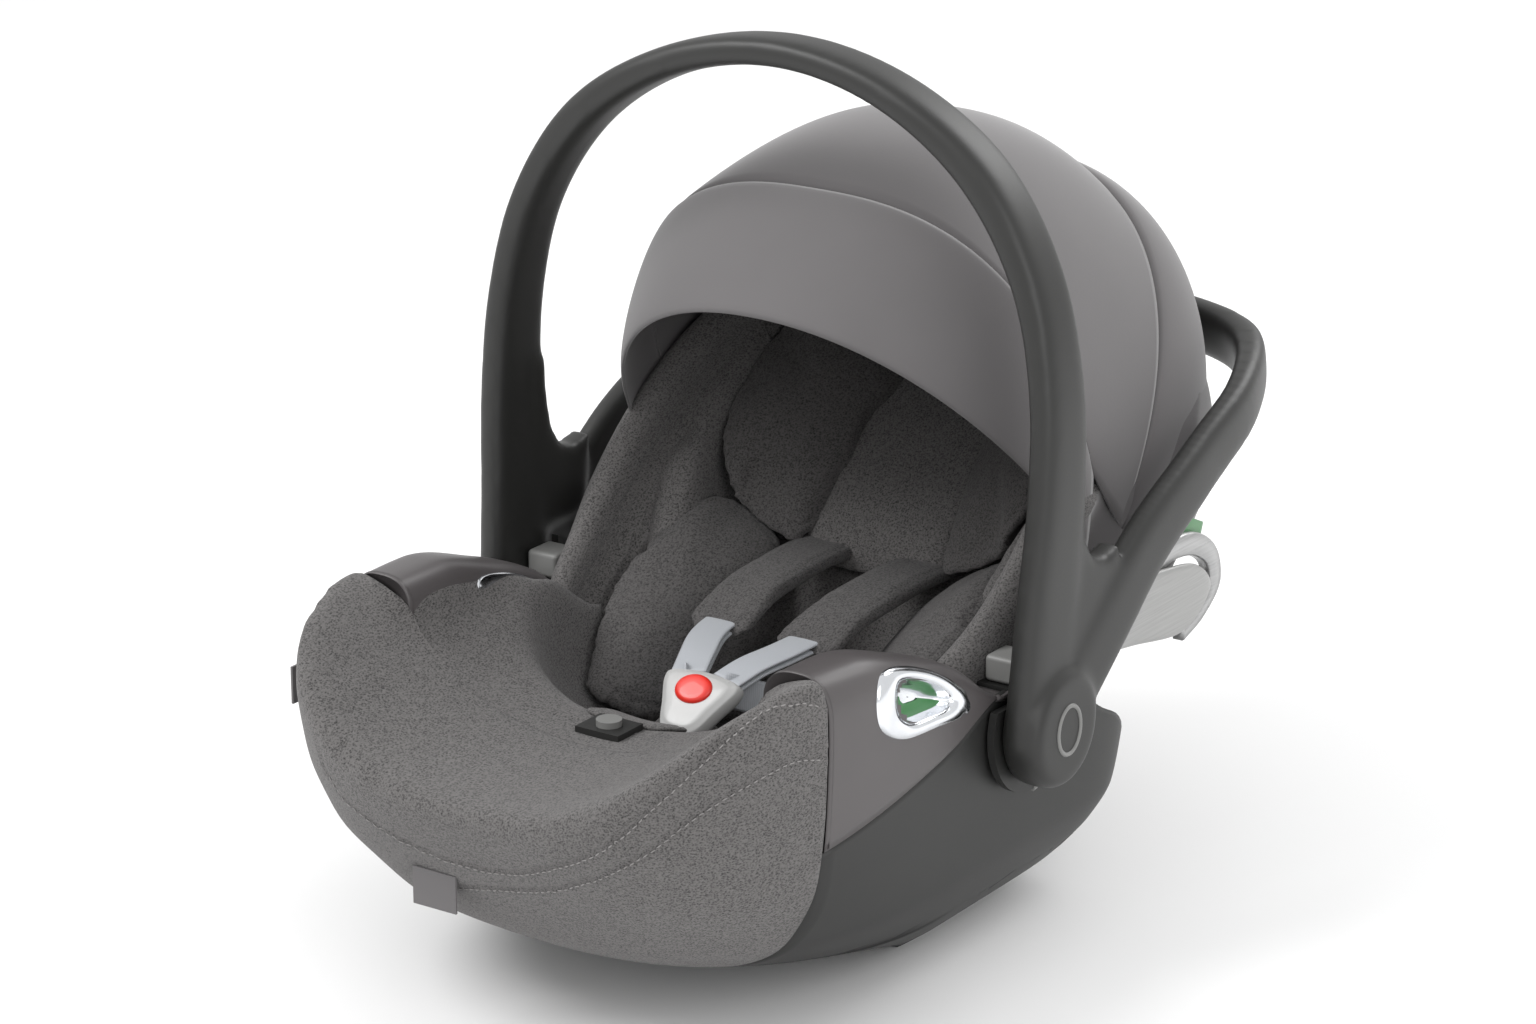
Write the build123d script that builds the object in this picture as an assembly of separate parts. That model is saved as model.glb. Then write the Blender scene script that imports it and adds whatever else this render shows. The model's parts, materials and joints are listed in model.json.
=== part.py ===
from build123d import *
import os
from math import cos, pi, radians, sin, tan

os.makedirs("parts", exist_ok=True)

# Infant car seat. The seat faces -Y and stands on z = 0 with X across it. Lengths are in
# millimetres. The origin is the middle of the floor under the seat's overall box.

# ---- driving dimensions ----
HUB = (-15.8, 155)          # y, z of the handle hub and recline axis
HUB_R = 38                  # rounded end of the handle's leg
LEG_INNER, LEG_OUTER = 190, 216
LOOP_TIP = 365              # rear loop's outer tip behind the hub
SHELL_T = 4.5               # plastic wall
COVER_T = 6.5               # fabric cover with its wadding
SEAT_PAD_T = 14
SPLIT_Y = -206              # joint between fabric front and plastic shell, from the hub
SEAT_END_Y = -8             # rear end of the seat cushion, from the hub
TRIM_IN = 132               # inner edge of the side trims
BACK_ANGLE = 40             # backrest above the floor, degrees
BACK_ROOT = (0, 73)         # y from the hub and z where the backrest line starts
BACK_END = 385              # length of the backrest shell along its line
HINGE = (95, 262)           # canopy hinge, y from the hub and z
HINGE_PIN_R = 6
EYE_R = 15                  # eyes of the canopy bows on the hinge pins
FABRIC_T = 2
BOW_T = 2.5
PIN_R = 9
RUN_GAP = 0.05              # radial clearance of a running pin
GAP = 0.3                   # clearance between neighbouring curved faces
HEADREST_TRAVEL = 50
SIDES = (("left", -1), ("right", 1))


# ---- small helpers ----
def save(name, *solids):
    """Writes one sub-part, made of one or more solids, to its own file."""
    pieces = [piece for shape in solids for piece in shape.solids()]
    body = pieces[0] if len(pieces) == 1 else Compound(pieces)
    body.label = name
    export_step(body, f"parts/{name}.step")


def block(x, y, z):
    """A box from its ranges, with y counted from the hub."""
    size = (x[1] - x[0], y[1] - y[0], z[1] - z[0])
    centre = ((x[0] + x[1]) / 2, (y[0] + y[1]) / 2 + HUB[0], (z[0] + z[1]) / 2)
    return Pos(*centre) * Box(*size)


def rod(radius, x, y, z):
    """A round rod along X, with y counted from the hub."""
    return Pos((x[0] + x[1]) / 2, y + HUB[0], z) * Rot(0, 90, 0) * Cylinder(radius, x[1] - x[0])


def sided(x, side):
    """An x range mirrored to one side, lowest first."""
    return tuple(sorted((x[0] * side, x[1] * side)))


def side_prism(points, x, smooth=False):
    """Extrudes a closed side-view outline, given as y from the hub and z, across an x range."""
    line = [Vector(x[0], y + HUB[0], z) for y, z in points]
    edges = Spline(*line, periodic=True) if smooth else Polyline(*line, close=True)
    return extrude(make_face(edges), amount=x[1] - x[0], dir=(1, 0, 0))


def power_curve(half, depth, power, turn):
    """One point of a superellipse at an angle, so that large powers make boxy corners."""
    c, s = cos(turn), sin(turn)
    return (half * abs(c) ** (2 / power) * (1 if c >= 0 else -1),
            depth * abs(s) ** (2 / power) * (1 if s >= 0 else -1))


# ---- rocker tub, from level outlines ----
# z, front and rear ends from the hub, half width, corner power at the front
TUB = ((0, -40, 62, 118, 2.2), (13, -105, 94, 136, 2.2), (26, -160, 122, 152, 2.3),
       (45, -236, 148, 165, 2.4), (66, -270, 160, 173, 2.8), (111, -303, 163, 179, 3.7),
       (155, -330, 163, 182, 3.6), (205, -344, 163, 183, 3.5), (245, -345, 163, 182, 3.5))
TUB_MID = -40
REAR_POWER = 5
RIM_LINE = ((-400, 262), (-208, 240), (-165, 239), (-105, 222), (-59, 203), (-22, 176),
            (30, 176), (62, 158), (100, 129), (126, 104), (154, 66), (158, 40), (158, -5),
            (-400, -5))
TRIM_BORDER = ((-212, 133), (-140, 146), (-78, 160), (-32, 177))


def level_outline(z, front, rear, half, power, inset):
    points = []
    for step in range(40):
        turn = 2 * pi * step / 40 - pi / 2
        behind = sin(turn) >= 0
        length = (rear - TUB_MID if behind else TUB_MID - front) - inset
        x, y = power_curve(half - inset, length, REAR_POWER if behind else power, turn)
        points.append((x, y + TUB_MID + HUB[0], z + inset))
    return make_face(Spline(*points, periodic=True))


def tub(inset=0.0):
    """The filled rocker shape, shrunk inwards and upwards by the inset."""
    return loft([level_outline(*row, inset) for row in TUB], ruled=True)


def dip(drop=0.0):
    """What lies above the front's top, which sags in the middle where the legs pass."""
    curve = Spline((-200, 262 - drop), (-158, 238 - drop), (-112, 198 - drop),
                   (-60, 172 - drop), (0, 164 - drop), (60, 172 - drop), (112, 198 - drop),
                   (158, 238 - drop), (200, 262 - drop))
    lid = Polyline((200, 262 - drop), (200, 330), (-200, 330), (-200, 262 - drop))
    face = Plane.XZ * make_face([curve, lid])
    return extrude(face, amount=500, both=True)


# z, front end from the hub and half width of the space that the child lies in
BOWL = ((80, -62, 62), (110, -105, 96), (150, -146, 122), (200, -176, 128), (260, -196, 130))


def bowl(grow=0.0):
    """The seat's hollow, grown outwards and downwards by a lining's thickness."""
    faces = []
    for z, front, half in BOWL:
        points = []
        for step in range(41):
            turn = pi + pi * step / 40
            x, y = power_curve(half + grow, -front + grow, 2.6, turn)
            points.append((x, y + HUB[0], z - grow))
        end = Polyline(points[-1], (half + grow, 60, z - grow), (-half - grow, 60, z - grow),
                       points[0])
        faces.append(make_face([Spline(*points), end]))
    return loft(faces, ruled=True)


tub_outer = tub()
tub_inner = tub(SHELL_T)
tub_lined = tub(COVER_T + GAP)
below_rim = side_prism(RIM_LINE, (-220, 220))
behind_split = block((-220, 220), (SPLIT_Y, 300), (-5, 400))
before_split = block((-220, 220), (-500, SPLIT_Y - 0.5), (-5, 400))
border = [(-212, 400), (-212, 133)] + list(TRIM_BORDER[1:]) + [(-22, 176), (-22, 400)]
above_border = side_prism(border, (-220, 220))
# The tail is open between its two corners, where the backrest swings down.
tail_gap = side_prism(((20, 120), (60, 52), (300, 52), (300, 400), (20, 400)), (-152, 152))

lower_shell = (tub_outer - tub_inner) & below_rim & behind_split
lower_shell = lower_shell - above_border - tail_gap
latch_holes = [block((-46, 46), (y - 15, y + 15), (-5, 40)) for y in (-112, 82)]
lower_shell = lower_shell - latch_holes
for _, side in SIDES:
    lower_shell = lower_shell - rod(PIN_R, sided((150, 200), side), 0, HUB[1])
save("lower_shell", lower_shell)

# Fabric-covered front, on its foam.
front_outer = (tub_outer & before_split) - dip()
front_core = (tub_lined & before_split) - dip(COVER_T)
save("front_cover", front_outer - front_core)
front_foam = (tub(COVER_T + 2 * GAP) & before_split) - dip(COVER_T + GAP)
save("front_foam", front_foam)

# Seat foam and the cushion lining its hollow.
seat_space = block((-131, 131), (SPLIT_Y + 0.5, SEAT_END_Y), (0, 400)) & below_rim
seat_space = (seat_space - dip(1)) & tub(SHELL_T + 2)
seat_foam = seat_space - bowl(SEAT_PAD_T + GAP)
seat_foam = seat_foam - block((-62, 62), (-135, -88), (0, 48))
save("seat_foam", seat_foam)
seat_cushion = (seat_space & bowl(SEAT_PAD_T)) - bowl()
save("seat_cushion", seat_cushion)

# Side trims: hollow caps on the shell's rim, each with a belt guide pocket.
GUIDE_AT = (153, -78)
lowered_rim = side_prism([(y, z - 4) for y, z in RIM_LINE], (-220, 220))
for name, side in SIDES:
    band = block(sided((TRIM_IN, 220), side), (SPLIT_Y, -22), (100, 260))
    cap = tub_outer & above_border & below_rim & band
    hollow = tub(SHELL_T) & lowered_rim & block(sided((TRIM_IN + 4, 220), side),
                                                (SPLIT_Y + 4, -26), (60, 260))
    pocket_at = Pos(GUIDE_AT[0] * side, GUIDE_AT[1] + HUB[0], 211) * Rot(-27, 0, 0)
    pocket = pocket_at * Cylinder(19, 60)
    trim = cap - hollow - pocket
    save(f"side_trim_{name}", trim)
    ring = pocket_at * (Cylinder(18.7, 18) - Cylinder(15, 30))
    save(f"belt_guide_{name}", ring)
belt_marks = [Pos(GUIDE_AT[0] * side, GUIDE_AT[1] + HUB[0], 211) * Rot(-27, 0, 0)
              * Pos(0, 0, -6) * Cylinder(14.7, 4) for _, side in SIDES]
save("belt_marks", *belt_marks)

# Steel latch bars behind the openings in the shell's belly.
latch_bars = []
for y in (-112, 82):
    ends = [block(sided((48, 52), side), (y - 9, y + 9), (32, 46)) for _, side in SIDES]
    latch_bars.append(rod(5, (-50, 50), y, 40) + ends)
save("latch_bars", *latch_bars)

# Hubs: stepped pins through the shell, light lock rings and release buttons.
hub_bosses, hub_pins, release_housings = [], [], []
for name, side in SIDES:
    at = (0, HUB[1])
    hub_pins.append(rod(PIN_R, sided((176, 212), side), *at) + rod(8, sided((158, 176), side), *at))
    lock_ring = rod(46, sided((184.5, LEG_INNER - 0.5), side), 3, HUB[1])
    lock_ring = lock_ring - block(sided((180, 200), side), (-60, 18), (172, 260))
    hub_bosses.append(lock_ring - rod(PIN_R, sided((150, 220), side), *at))
    release_housings.append(block(sided((160, 186), side), (-16, 14), (176.5, 179.5)))
    button = block(sided((163, 187), side), (-13, 11), (180, 197))
    save(f"release_button_{name}", fillet(button.edges(), 3))
save("hub_bosses", *hub_bosses)
save("hub_pins", *hub_pins)
save("release_housings", *release_housings)

# ---- handle: an arch and a rear loop that meet at the hubs ----
ARCH_LEAN = 3
ARCH_OUTER = ((LEG_OUTER - 6, 0), (212, 80), (216, 150), (213, 210), (197, 280), (153, 345),
              (95, 382), (0, 403))
ARCH_INNER = ((LEG_INNER, 0), (193, 60), (197, 150), (194, 210), (178, 275), (137, 331),
              (85, 365), (0, 385))
LOOP_OUTER = ((LEG_OUTER - 4, 0), (214, 90), (212, 180), (203, 255), (165, 325), (95, 357),
              (0, LOOP_TIP))
LOOP_INNER = ((LEG_INNER + 4, 0), (197, 90), (195, 180), (187, 248), (152, 310), (88, 340),
              (0, LOOP_TIP - 17))
# y from the hub, z and half depth of the rear loop's side view, from the hub outwards
LOOP_SIDE = ((0, 155, 26), (60, 205, 25), (112, 245, 23), (165, 270, 21), (215, 288, 20),
             (275, 303, 19), (330, 311, 18), (LOOP_TIP + 10, 314, 17))


def hoop(outer, inner, plane, depth):
    """A U-shaped band seen face on, from half outlines, extruded through its depth."""
    def whole(half):
        return [(-x, r) for x, r in half] + [(x, r) for x, r in reversed(half[:-1])]
    face = make_face([Spline(*whole(outer)), Line(whole(outer)[-1], whole(inner)[-1]),
                      Spline(*whole(inner)), Line(whole(outer)[0], whole(inner)[0])])
    return extrude(plane * face, amount=depth, both=True)


arch_plane = Plane(origin=(0, HUB[0] - 10, HUB[1]), x_dir=(1, 0, 0),
                   z_dir=(0, -cos(radians(ARCH_LEAN)), sin(radians(ARCH_LEAN))))
arch_band = hoop(ARCH_OUTER, ARCH_INNER, arch_plane, 60)
lean = tan(radians(ARCH_LEAN))
arch_side = ((-32, 150), (-32 + 90 * lean, 245), (-30 + 200 * lean, 355), (-30 + 420 * lean, 575),
             (10 + 420 * lean, 575), (10 + 200 * lean, 355), (18 + 90 * lean, 245), (30, 150))
arch = arch_band & side_prism(arch_side, (-230, 230))
loop_band = hoop(LOOP_OUTER, LOOP_INNER,
                 Plane(origin=(0, HUB[0], 230), x_dir=(1, 0, 0), z_dir=(0, 0, 1)), 160)


def strip(path):
    """A closed side-view outline from centre points and half depths."""
    upper, lower = [], []
    for k, (y, z, half) in enumerate(path):
        before, after = path[max(k - 1, 0)], path[min(k + 1, len(path) - 1)]
        dy, dz = after[0] - before[0], after[1] - before[1]
        size = (dy * dy + dz * dz) ** 0.5
        upper.append((y - dz / size * half, z + dy / size * half))
        lower.append((y + dz / size * half, z - dy / size * half))
    return upper, lower


upper, lower = strip(LOOP_SIDE)
on_side = [[Vector(-230, y + HUB[0], z) for y, z in line] for line in (upper, lower)]
loop_face = make_face([Spline(*on_side[0]), Line(on_side[0][-1], on_side[1][-1]),
                       Spline(*on_side[1]), Line(on_side[0][0], on_side[1][0])])
loop = loop_band & extrude(loop_face, amount=460, dir=(1, 0, 0))
handle = arch + loop
for _, side in SIDES:
    handle = handle + rod(HUB_R, sided((LEG_INNER, LEG_OUTER), side), 0, HUB[1])
for _, side in SIDES:
    handle = handle - rod(PIN_R + RUN_GAP, sided((180, 213), side), 0, HUB[1])
save("handle", handle)
for name, side in SIDES:
    cap = rod(17, sided((LEG_OUTER, LEG_OUTER + 2.5), side), 0, HUB[1])
    save(f"hub_cap_{name}", cap - rod(12, sided((LEG_OUTER + 1, 230), side), 0, HUB[1]))

# ---- backrest, from outlines square to its line ----
# distance along the line, half width, depth behind the cushion's face, rim height above it
BACK = ((35, 108, 22, 15), (70, 126, 36, 45), (110, 148, 52, 66), (170, 170, 70, 75),
        (230, 182, 84, 76), (300, 177, 88, 72), (350, 158, 80, 66), (370, 144, 72, 60),
        (BACK_END, 124, 58, 52))
BACK_POWER = 4.5
along = (cos(radians(BACK_ANGLE)), sin(radians(BACK_ANGLE)))


def back_point(t, n):
    """y in the part's frame and z of a point t along the backrest and n above its face."""
    return (HUB[0] + BACK_ROOT[0] + t * along[0] - n * along[1],
            BACK_ROOT[1] + t * along[1] + n * along[0])


def back_plane(t, n=0.0):
    """A plane square to the backrest line: x across, y downwards behind the face."""
    return Plane(origin=(0, *back_point(t, n)), x_dir=(1, 0, 0), z_dir=(0, *along))


def back_box(x, t, n):
    """A box in the backrest's own directions."""
    plane = back_plane((t[0] + t[1]) / 2, (n[0] + n[1]) / 2)
    return Location(plane) * Pos((x[0] + x[1]) / 2, 0, 0) * Box(x[1] - x[0], n[1] - n[0], t[1] - t[0])


def trough(t, half, depth, top, power, lift=0.0):
    """One U-shaped outline, closed along its rim, which straight sides can raise."""
    points = [power_curve(half, depth + top, power, pi * k / 24) for k in range(25)]
    edges = [Spline(*points)]
    corners = [points[-1], (-half, -lift), (half, -lift), points[0]] if lift else [points[-1], points[0]]
    edges += [Line(a, b) for a, b in zip(corners, corners[1:])]
    return back_plane(t, top) * make_face(edges)


def back_solid(inset, end_inset=0.0, before=0.0, lift=0.0):
    """The backrest's filled shape, shrunk by an inset; to cut with, it starts early and rises."""
    rows = list(BACK)
    rows[-1] = (BACK_END - end_inset, *BACK[-1][1:])
    if before:
        rows.insert(0, (BACK[0][0] - before, *BACK[0][1:]))
    faces = [trough(t, half - inset, depth - inset, top, BACK_POWER, lift)
             for t, half, depth, top in rows]
    return loft(faces, ruled=True)


def back_hollow(grow, past=0.0):
    """The space for the child's back, grown by a lining's thickness."""
    faces = []
    for t, half in ((35 - past, 96), (110, 122), (170, 134), (200, 140), (BACK_END + past, 140)):
        faces.append(trough(t, half + grow, grow, 110, 4))
    return loft(faces, ruled=True)


BACK_PAD_T = 14
back_outer = back_solid(0)
back_shell = back_outer - back_solid(SHELL_T, SHELL_T, 20, 30)
back_core = back_solid(SHELL_T + GAP, SHELL_T + GAP)
for _, side in SIDES:
    # The canopy's eyes turn on this pin, in a pocket sunk into the rim.
    pocket = rod(EYE_R + 1.5, sided((148, 175.3), side), *HINGE)
    lug = side_prism(((78, 232), (118, 262), (108, 275), (82, 275), (74, 262)),
                     sided((175.3, 187), side))
    back_shell = back_shell - pocket + lug + rod(HINGE_PIN_R, sided((155, 187), side), *HINGE)
    back_core = back_core - pocket
save("back_shell", back_shell)
save("back_foam", back_core - back_hollow(BACK_PAD_T + GAP, 20))
save("back_cushion", (back_core & back_hollow(BACK_PAD_T)) - back_hollow(0, 20))

# Side bolsters of the lining, beside the child's hips and chest.
for name, side in SIDES:
    bolster = back_box(sided((70, 94), side), (62, 172), (14, 58))
    save(f"bolster_{name}", fillet(bolster.edges(), 9))

# Recline brackets turn on the hub pins.
brackets = []
for _, side in SIDES:
    eye = rod(19, sided((162, 168), side), 0, HUB[1])
    plate = side_prism(((0, 137), (0, 174), (52, 182), (98, 172), (98, 152), (52, 142)),
                       sided((162, 168), side))
    brackets.append(eye + plate - rod(8 + RUN_GAP, sided((150, 180), side), 0, HUB[1]))
save("recline_brackets", *[bracket - back_outer for bracket in brackets])

# Headrest rails on the back, and the headrest that slides up them.
rails = [back_box((x - 4, x + 4), (190, 372), (0.6, 3.4)) for x in (-30, 30)]
save("headrest_rails", *rails)
board = back_box((-74, 74), (222, 312), (4, 8))
save("headrest_board", fillet(board.edges().filter_by(Axis.X, reverse=True), 1.5))
pad = back_box((-62, 62), (210, 318), (8.3, 24))
save("headrest_pad", fillet(pad.edges(), 6))
for name, side in SIDES:
    wing = back_box(sided((66, 108), side), (204, 322), (8.3, 70))
    save(f"headrest_wing_{name}", fillet(wing.edges(), 12))
lever = back_box((-22, 22), (320.5, 330), (10, 20))
save("headrest_lever", fillet(lever.edges(), 3))

# ---- canopy: three fabric lobes and their bows, turned about one hinge line ----
# name, half width, radius, start and end angle above the rear horizon
LOBES = (("front", 161, 207, 101, 136), ("mid", 168, 217, 67, 106), ("rear", 175, 227, 6, 72))
BOW_SPAN = 4
SIDE_LOW = 43               # the rear lobe's sides end here, above the backrest's rim
CANOPY_POWER = 2.8


def lobe(half, radius, thick, low, high, hub_r):
    """A thin fan-shaped shell between two angles about the hinge."""
    def arc(half, radius):
        points = []
        for k in range(31):
            x, r = power_curve(half, radius, CANOPY_POWER, pi * k / 30)
            points.append((x, r))
        return points
    outer, inner = arc(half, radius), arc(half - thick, radius - thick)
    face = make_face([Spline(*outer), Line(outer[-1], inner[-1]), Spline(*inner),
                      Line(inner[0], outer[0])])
    plane = Plane(origin=(0, HINGE[0] + HUB[0], HINGE[1]), x_dir=(1, 0, 0), z_dir=(0, 0, 1))
    shell = revolve(plane * face, Axis((0, HINGE[0] + HUB[0], HINGE[1]), (1, 0, 0)), high - low)
    centre = (0, HINGE[0] + HUB[0], HINGE[1])
    turned = shell.rotate(Axis(centre, (1, 0, 0)), low)
    return turned - rod(hub_r, (-220, 220), *HINGE)


for name, half, radius, low, high in LOBES:
    panel = lobe(half, radius, FABRIC_T, low, high, EYE_R + 2)
    bow_half, bow_r = half - FABRIC_T - GAP, radius - FABRIC_T - GAP
    at = high - BOW_SPAN if name != "rear" else SIDE_LOW
    if name == "rear":
        panel = panel - back_box((-230, 230), (-80, BACK_END + GAP), (-260, 79))
    bow = lobe(bow_half, bow_r, BOW_T, at, at + BOW_SPAN, HINGE_PIN_R + RUN_GAP)
    for _, side in SIDES:
        eye = rod(EYE_R, sided((bow_half - BOW_T, bow_half), side), *HINGE)
        bow = bow + (eye - rod(HINGE_PIN_R + RUN_GAP, (-220, 220), *HINGE))
    save(f"canopy_{name}_panel", panel)
    save(f"canopy_{name}_bow", bow)

# ---- side-impact flaps, rear belt guides and their marks ----
FLAP_PIN = (186, 83)        # half width and y from the hub of the flap's upright pin


def upright(radius, side, z):
    return Pos(FLAP_PIN[0] * side, FLAP_PIN[1] + HUB[0], (z[0] + z[1]) / 2) * Cylinder(radius, z[1] - z[0])


posts, marks = [], []
for name, side in SIDES:
    arm = block(sided((150, 186), side), (77, 89), (177, 191)) + upright(6, side, (177, 191))
    posts.append(arm - back_outer + upright(3, side, (161, 207)))
    flap = block(sided((184.5, 190), side), (92, 192), (164, 206))
    flap = fillet(flap.edges().filter_by(Axis.X), 16)
    for low in (163, 191.5):
        knuckle = block(sided((184.5, 190), side), (84, 110), (max(low, 166), min(low + 13.5, 203)))
        flap = flap + upright(6, side, (low, low + 13.5)) + knuckle
    save(f"side_flap_{name}", flap - upright(3 + RUN_GAP, side, (150, 220)))
    guide = block(sided((150, 188), side), (199, 222), (182, 214)) - back_outer
    guide = guide - block(sided((150, 190), side), (204, 217), (190, 206))
    save(f"rear_guide_{name}", guide)
    marks.append(block(sided((150, 187), side), (204.3, 216.7), (190.3, 205.7)) - back_outer)
save("flap_posts", *posts)
save("rear_marks", *marks)

# ---- harness ----
BUCKLE = (-88, 166)         # y from the hub and z of the buckle's middle
lie = radians(BACK_ANGLE)


def buckle_plane(v, w=0.0):
    """A plane on the buckle: x across, z along the backrest's direction, y downwards."""
    y = BUCKLE[0] + HUB[0] + v * cos(lie) - w * sin(lie)
    z = BUCKLE[1] + v * sin(lie) + w * cos(lie)
    return Plane(origin=(0, y, z), x_dir=(1, 0, 0), z_dir=(0, cos(lie), sin(lie)))


def buckle_box(x, v, w):
    at = Location(buckle_plane((v[0] + v[1]) / 2, (w[0] + w[1]) / 2))
    return at * Pos((x[0] + x[1]) / 2, 0, 0) * Box(x[1] - x[0], w[1] - w[0], v[1] - v[0])


def buckle_button(radius, w):
    at = Location(buckle_plane(-2, (w[0] + w[1]) / 2))
    return at * Rot(90, 0, 0) * Cylinder(radius, w[1] - w[0])


def bar(start, end, width, thick):
    """A flat strap between two points given as x, y from the hub and z."""
    a, b = (Vector(x, y + HUB[0], z) for x, y, z in (start, end))
    run = b - a
    across = Vector(run.Y, -run.X, 0).normalized()
    plane = Plane(origin=(a + b) * 0.5, x_dir=across, z_dir=run.normalized())
    return Location(plane) * Box(width, thick, run.length)


housing = buckle_box((-26, 26), (-22, 22), (-8, 8))
housing = fillet(housing.edges(), 3) - buckle_button(11.3, (1, 20))
save("buckle_housing", housing)
save("buckle_button", buckle_button(11, (3.5, 10)))
tongues, lap_straps = [], []
for name, side in SIDES:
    tongues.append(buckle_box(sided((2, 25), side), (22.2, 37), (-1.5, 1.5)))
    strap = bar((16 * side, -57, 192.5), (34.5 * side, -38.5, 188.5), 24, 1.6)
    save(f"shoulder_strap_{name}", strap)
    pad = bar((43 * side, -29, 187), (38 * side, 118, 192), 42, 12)
    save(f"shoulder_pad_{name}", fillet(pad.edges(), 4))
    lap_straps.append(bar((24 * side, -52, 178), (66 * side, -22, 122), 22, 1.6))
save("tongues", *tongues)
save("lap_straps", *lap_straps)
save("crotch_strap", block((-15, 15), (-103.5, -101.5), (113, 146)))
save("crotch_pad", fillet(block((-24, 24), (-117, -106), (130, 144)).edges(), 4))

# Strap adjuster under the front of the cushion, with its button.
adjuster = block((-16, 16), (-192, -166), (163.6, 168.6))
adjuster_well = Pos(0, -179 + HUB[0], 167) * Cylinder(8.3, 5)
save("adjuster_housing", adjuster - adjuster_well)
save("adjuster_button", Pos(0, -179 + HUB[0], 169.5) * Cylinder(8, 6))

# Fabric pull tabs that hold the front cover on.
save("front_tabs", block((-56, -24), (-301.5, -300), (82, 106)),
     block((-182.5, -181), (-258, -242), (168, 192)))
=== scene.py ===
import json
import math
import bmesh
import bpy
import numpy as np
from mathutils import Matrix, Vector
from mathutils.bvhtree import BVHTree
from mathutils.kdtree import KDTree


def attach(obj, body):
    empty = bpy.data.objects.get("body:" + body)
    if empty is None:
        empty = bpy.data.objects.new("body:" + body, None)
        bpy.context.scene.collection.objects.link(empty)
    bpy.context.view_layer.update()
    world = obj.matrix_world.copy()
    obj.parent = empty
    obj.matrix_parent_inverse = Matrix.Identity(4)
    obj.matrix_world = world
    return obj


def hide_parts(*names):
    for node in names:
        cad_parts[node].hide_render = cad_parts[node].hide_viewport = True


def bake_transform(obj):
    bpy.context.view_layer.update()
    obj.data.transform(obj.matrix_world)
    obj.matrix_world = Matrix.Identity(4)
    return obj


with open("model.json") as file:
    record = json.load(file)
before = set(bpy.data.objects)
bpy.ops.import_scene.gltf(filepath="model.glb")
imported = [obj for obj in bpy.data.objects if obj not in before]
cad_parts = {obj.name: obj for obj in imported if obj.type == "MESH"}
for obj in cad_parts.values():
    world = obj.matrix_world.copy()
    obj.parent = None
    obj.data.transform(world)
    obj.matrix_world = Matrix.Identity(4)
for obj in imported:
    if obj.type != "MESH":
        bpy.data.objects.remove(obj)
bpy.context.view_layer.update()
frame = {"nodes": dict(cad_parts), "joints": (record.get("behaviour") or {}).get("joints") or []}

# Lengths below are millimetres. x is across the seat, y counts rearwards from the handle's hub
# and z is up from the floor; place() turns them into the frame's metres.
MM = 0.001
joints = {joint["name"]: joint for joint in frame["joints"]}
HUB_Y = joints["handle_swing"]["pos_m"][1]
HUB_Z = joints["handle_swing"]["pos_m"][2] / MM
SIDES = (("left", -1), ("right", 1))


# ---- numbers and meshes ----
def place(points):
    """Millimetres from the hub to the frame's metres."""
    return np.asarray(points, float) * MM + [0, HUB_Y, 0]


def in_mm(points):
    """The frame's metres to millimetres from the hub."""
    return (np.asarray(points) - [0, HUB_Y, 0]) / MM


def unit(vectors):
    return vectors / (np.linalg.norm(vectors, axis=-1, keepdims=True) + 1e-12)


def reach_of(line):
    """Distance travelled along a line at each of its points."""
    return np.concatenate([[0], np.cumsum(np.linalg.norm(np.diff(line, axis=0), axis=1))])


def hermite(xs, ys, tangent, x):
    k = np.clip(np.searchsorted(xs, x) - 1, 0, len(xs) - 2)
    step = xs[k + 1] - xs[k]
    t = (x - xs[k]) / step
    return ((1 + 2 * t) * (1 - t) ** 2 * ys[k] + t * (1 - t) ** 2 * step * tangent[k]
            + t * t * (3 - 2 * t) * ys[k + 1] + t * t * (t - 1) * step * tangent[k + 1])


def ease(xs, ys, x):
    """Smooth curve through a few values, without overshoot between them."""
    xs, ys, x = (np.asarray(v, float) for v in (xs, ys, x))
    slope = np.diff(ys) / np.diff(xs)
    inner = np.where(slope[:-1] * slope[1:] > 0,
                     2 * slope[:-1] * slope[1:] / (slope[:-1] + slope[1:] + 1e-12), 0)
    tangent = np.concatenate([[slope[0]], inner, [slope[-1]]])
    return hermite(xs, ys, tangent, np.clip(x, xs[0], xs[-1]))


def columns(table, x):
    """Every column of a table of rows, eased along its first one."""
    rows = np.array(table, float)
    return [ease(rows[:, 0], rows[:, k], x) for k in range(1, rows.shape[1])]


def curve(points, count):
    """Evenly spaced points of a smooth line through a few points."""
    points = np.array(points, float)
    reach = reach_of(points)
    fine = np.linspace(0, reach[-1], 20 * len(points))
    dense = np.stack([spline_value(reach, points[:, k], fine) for k in range(points.shape[1])], 1)
    along = reach_of(dense)
    want = np.linspace(0, along[-1], count)
    return np.stack([np.interp(want, along, dense[:, k]) for k in range(dense.shape[1])], 1)


def spline_value(xs, ys, x):
    """Catmull-Rom curve, which may swing a little past its points."""
    return hermite(xs, ys, np.gradient(ys, xs), x)


def closed_curve(points, count):
    """Smooth closed line through a few points, with as many steps between each pair."""
    points = np.array(points, float)
    closed = np.concatenate([points[-2:], points, points[:3]])
    share = np.linspace(2, 2 + len(points), count, endpoint=False)
    knots = np.arange(len(closed), dtype=float)
    return np.stack([spline_value(knots, column, share) for column in closed.T], 1)


def power(turn, half, height, exponent):
    """Superellipse points: across and up."""
    c, s = np.cos(turn), np.sin(turn)
    return (half * np.sign(c) * np.abs(c) ** (2 / exponent),
            height * np.sign(s) * np.abs(s) ** (2 / exponent))


def add_object(name, mesh):
    piece = bpy.data.objects.new(name, mesh)
    bpy.context.scene.collection.objects.link(piece)
    return piece


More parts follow.
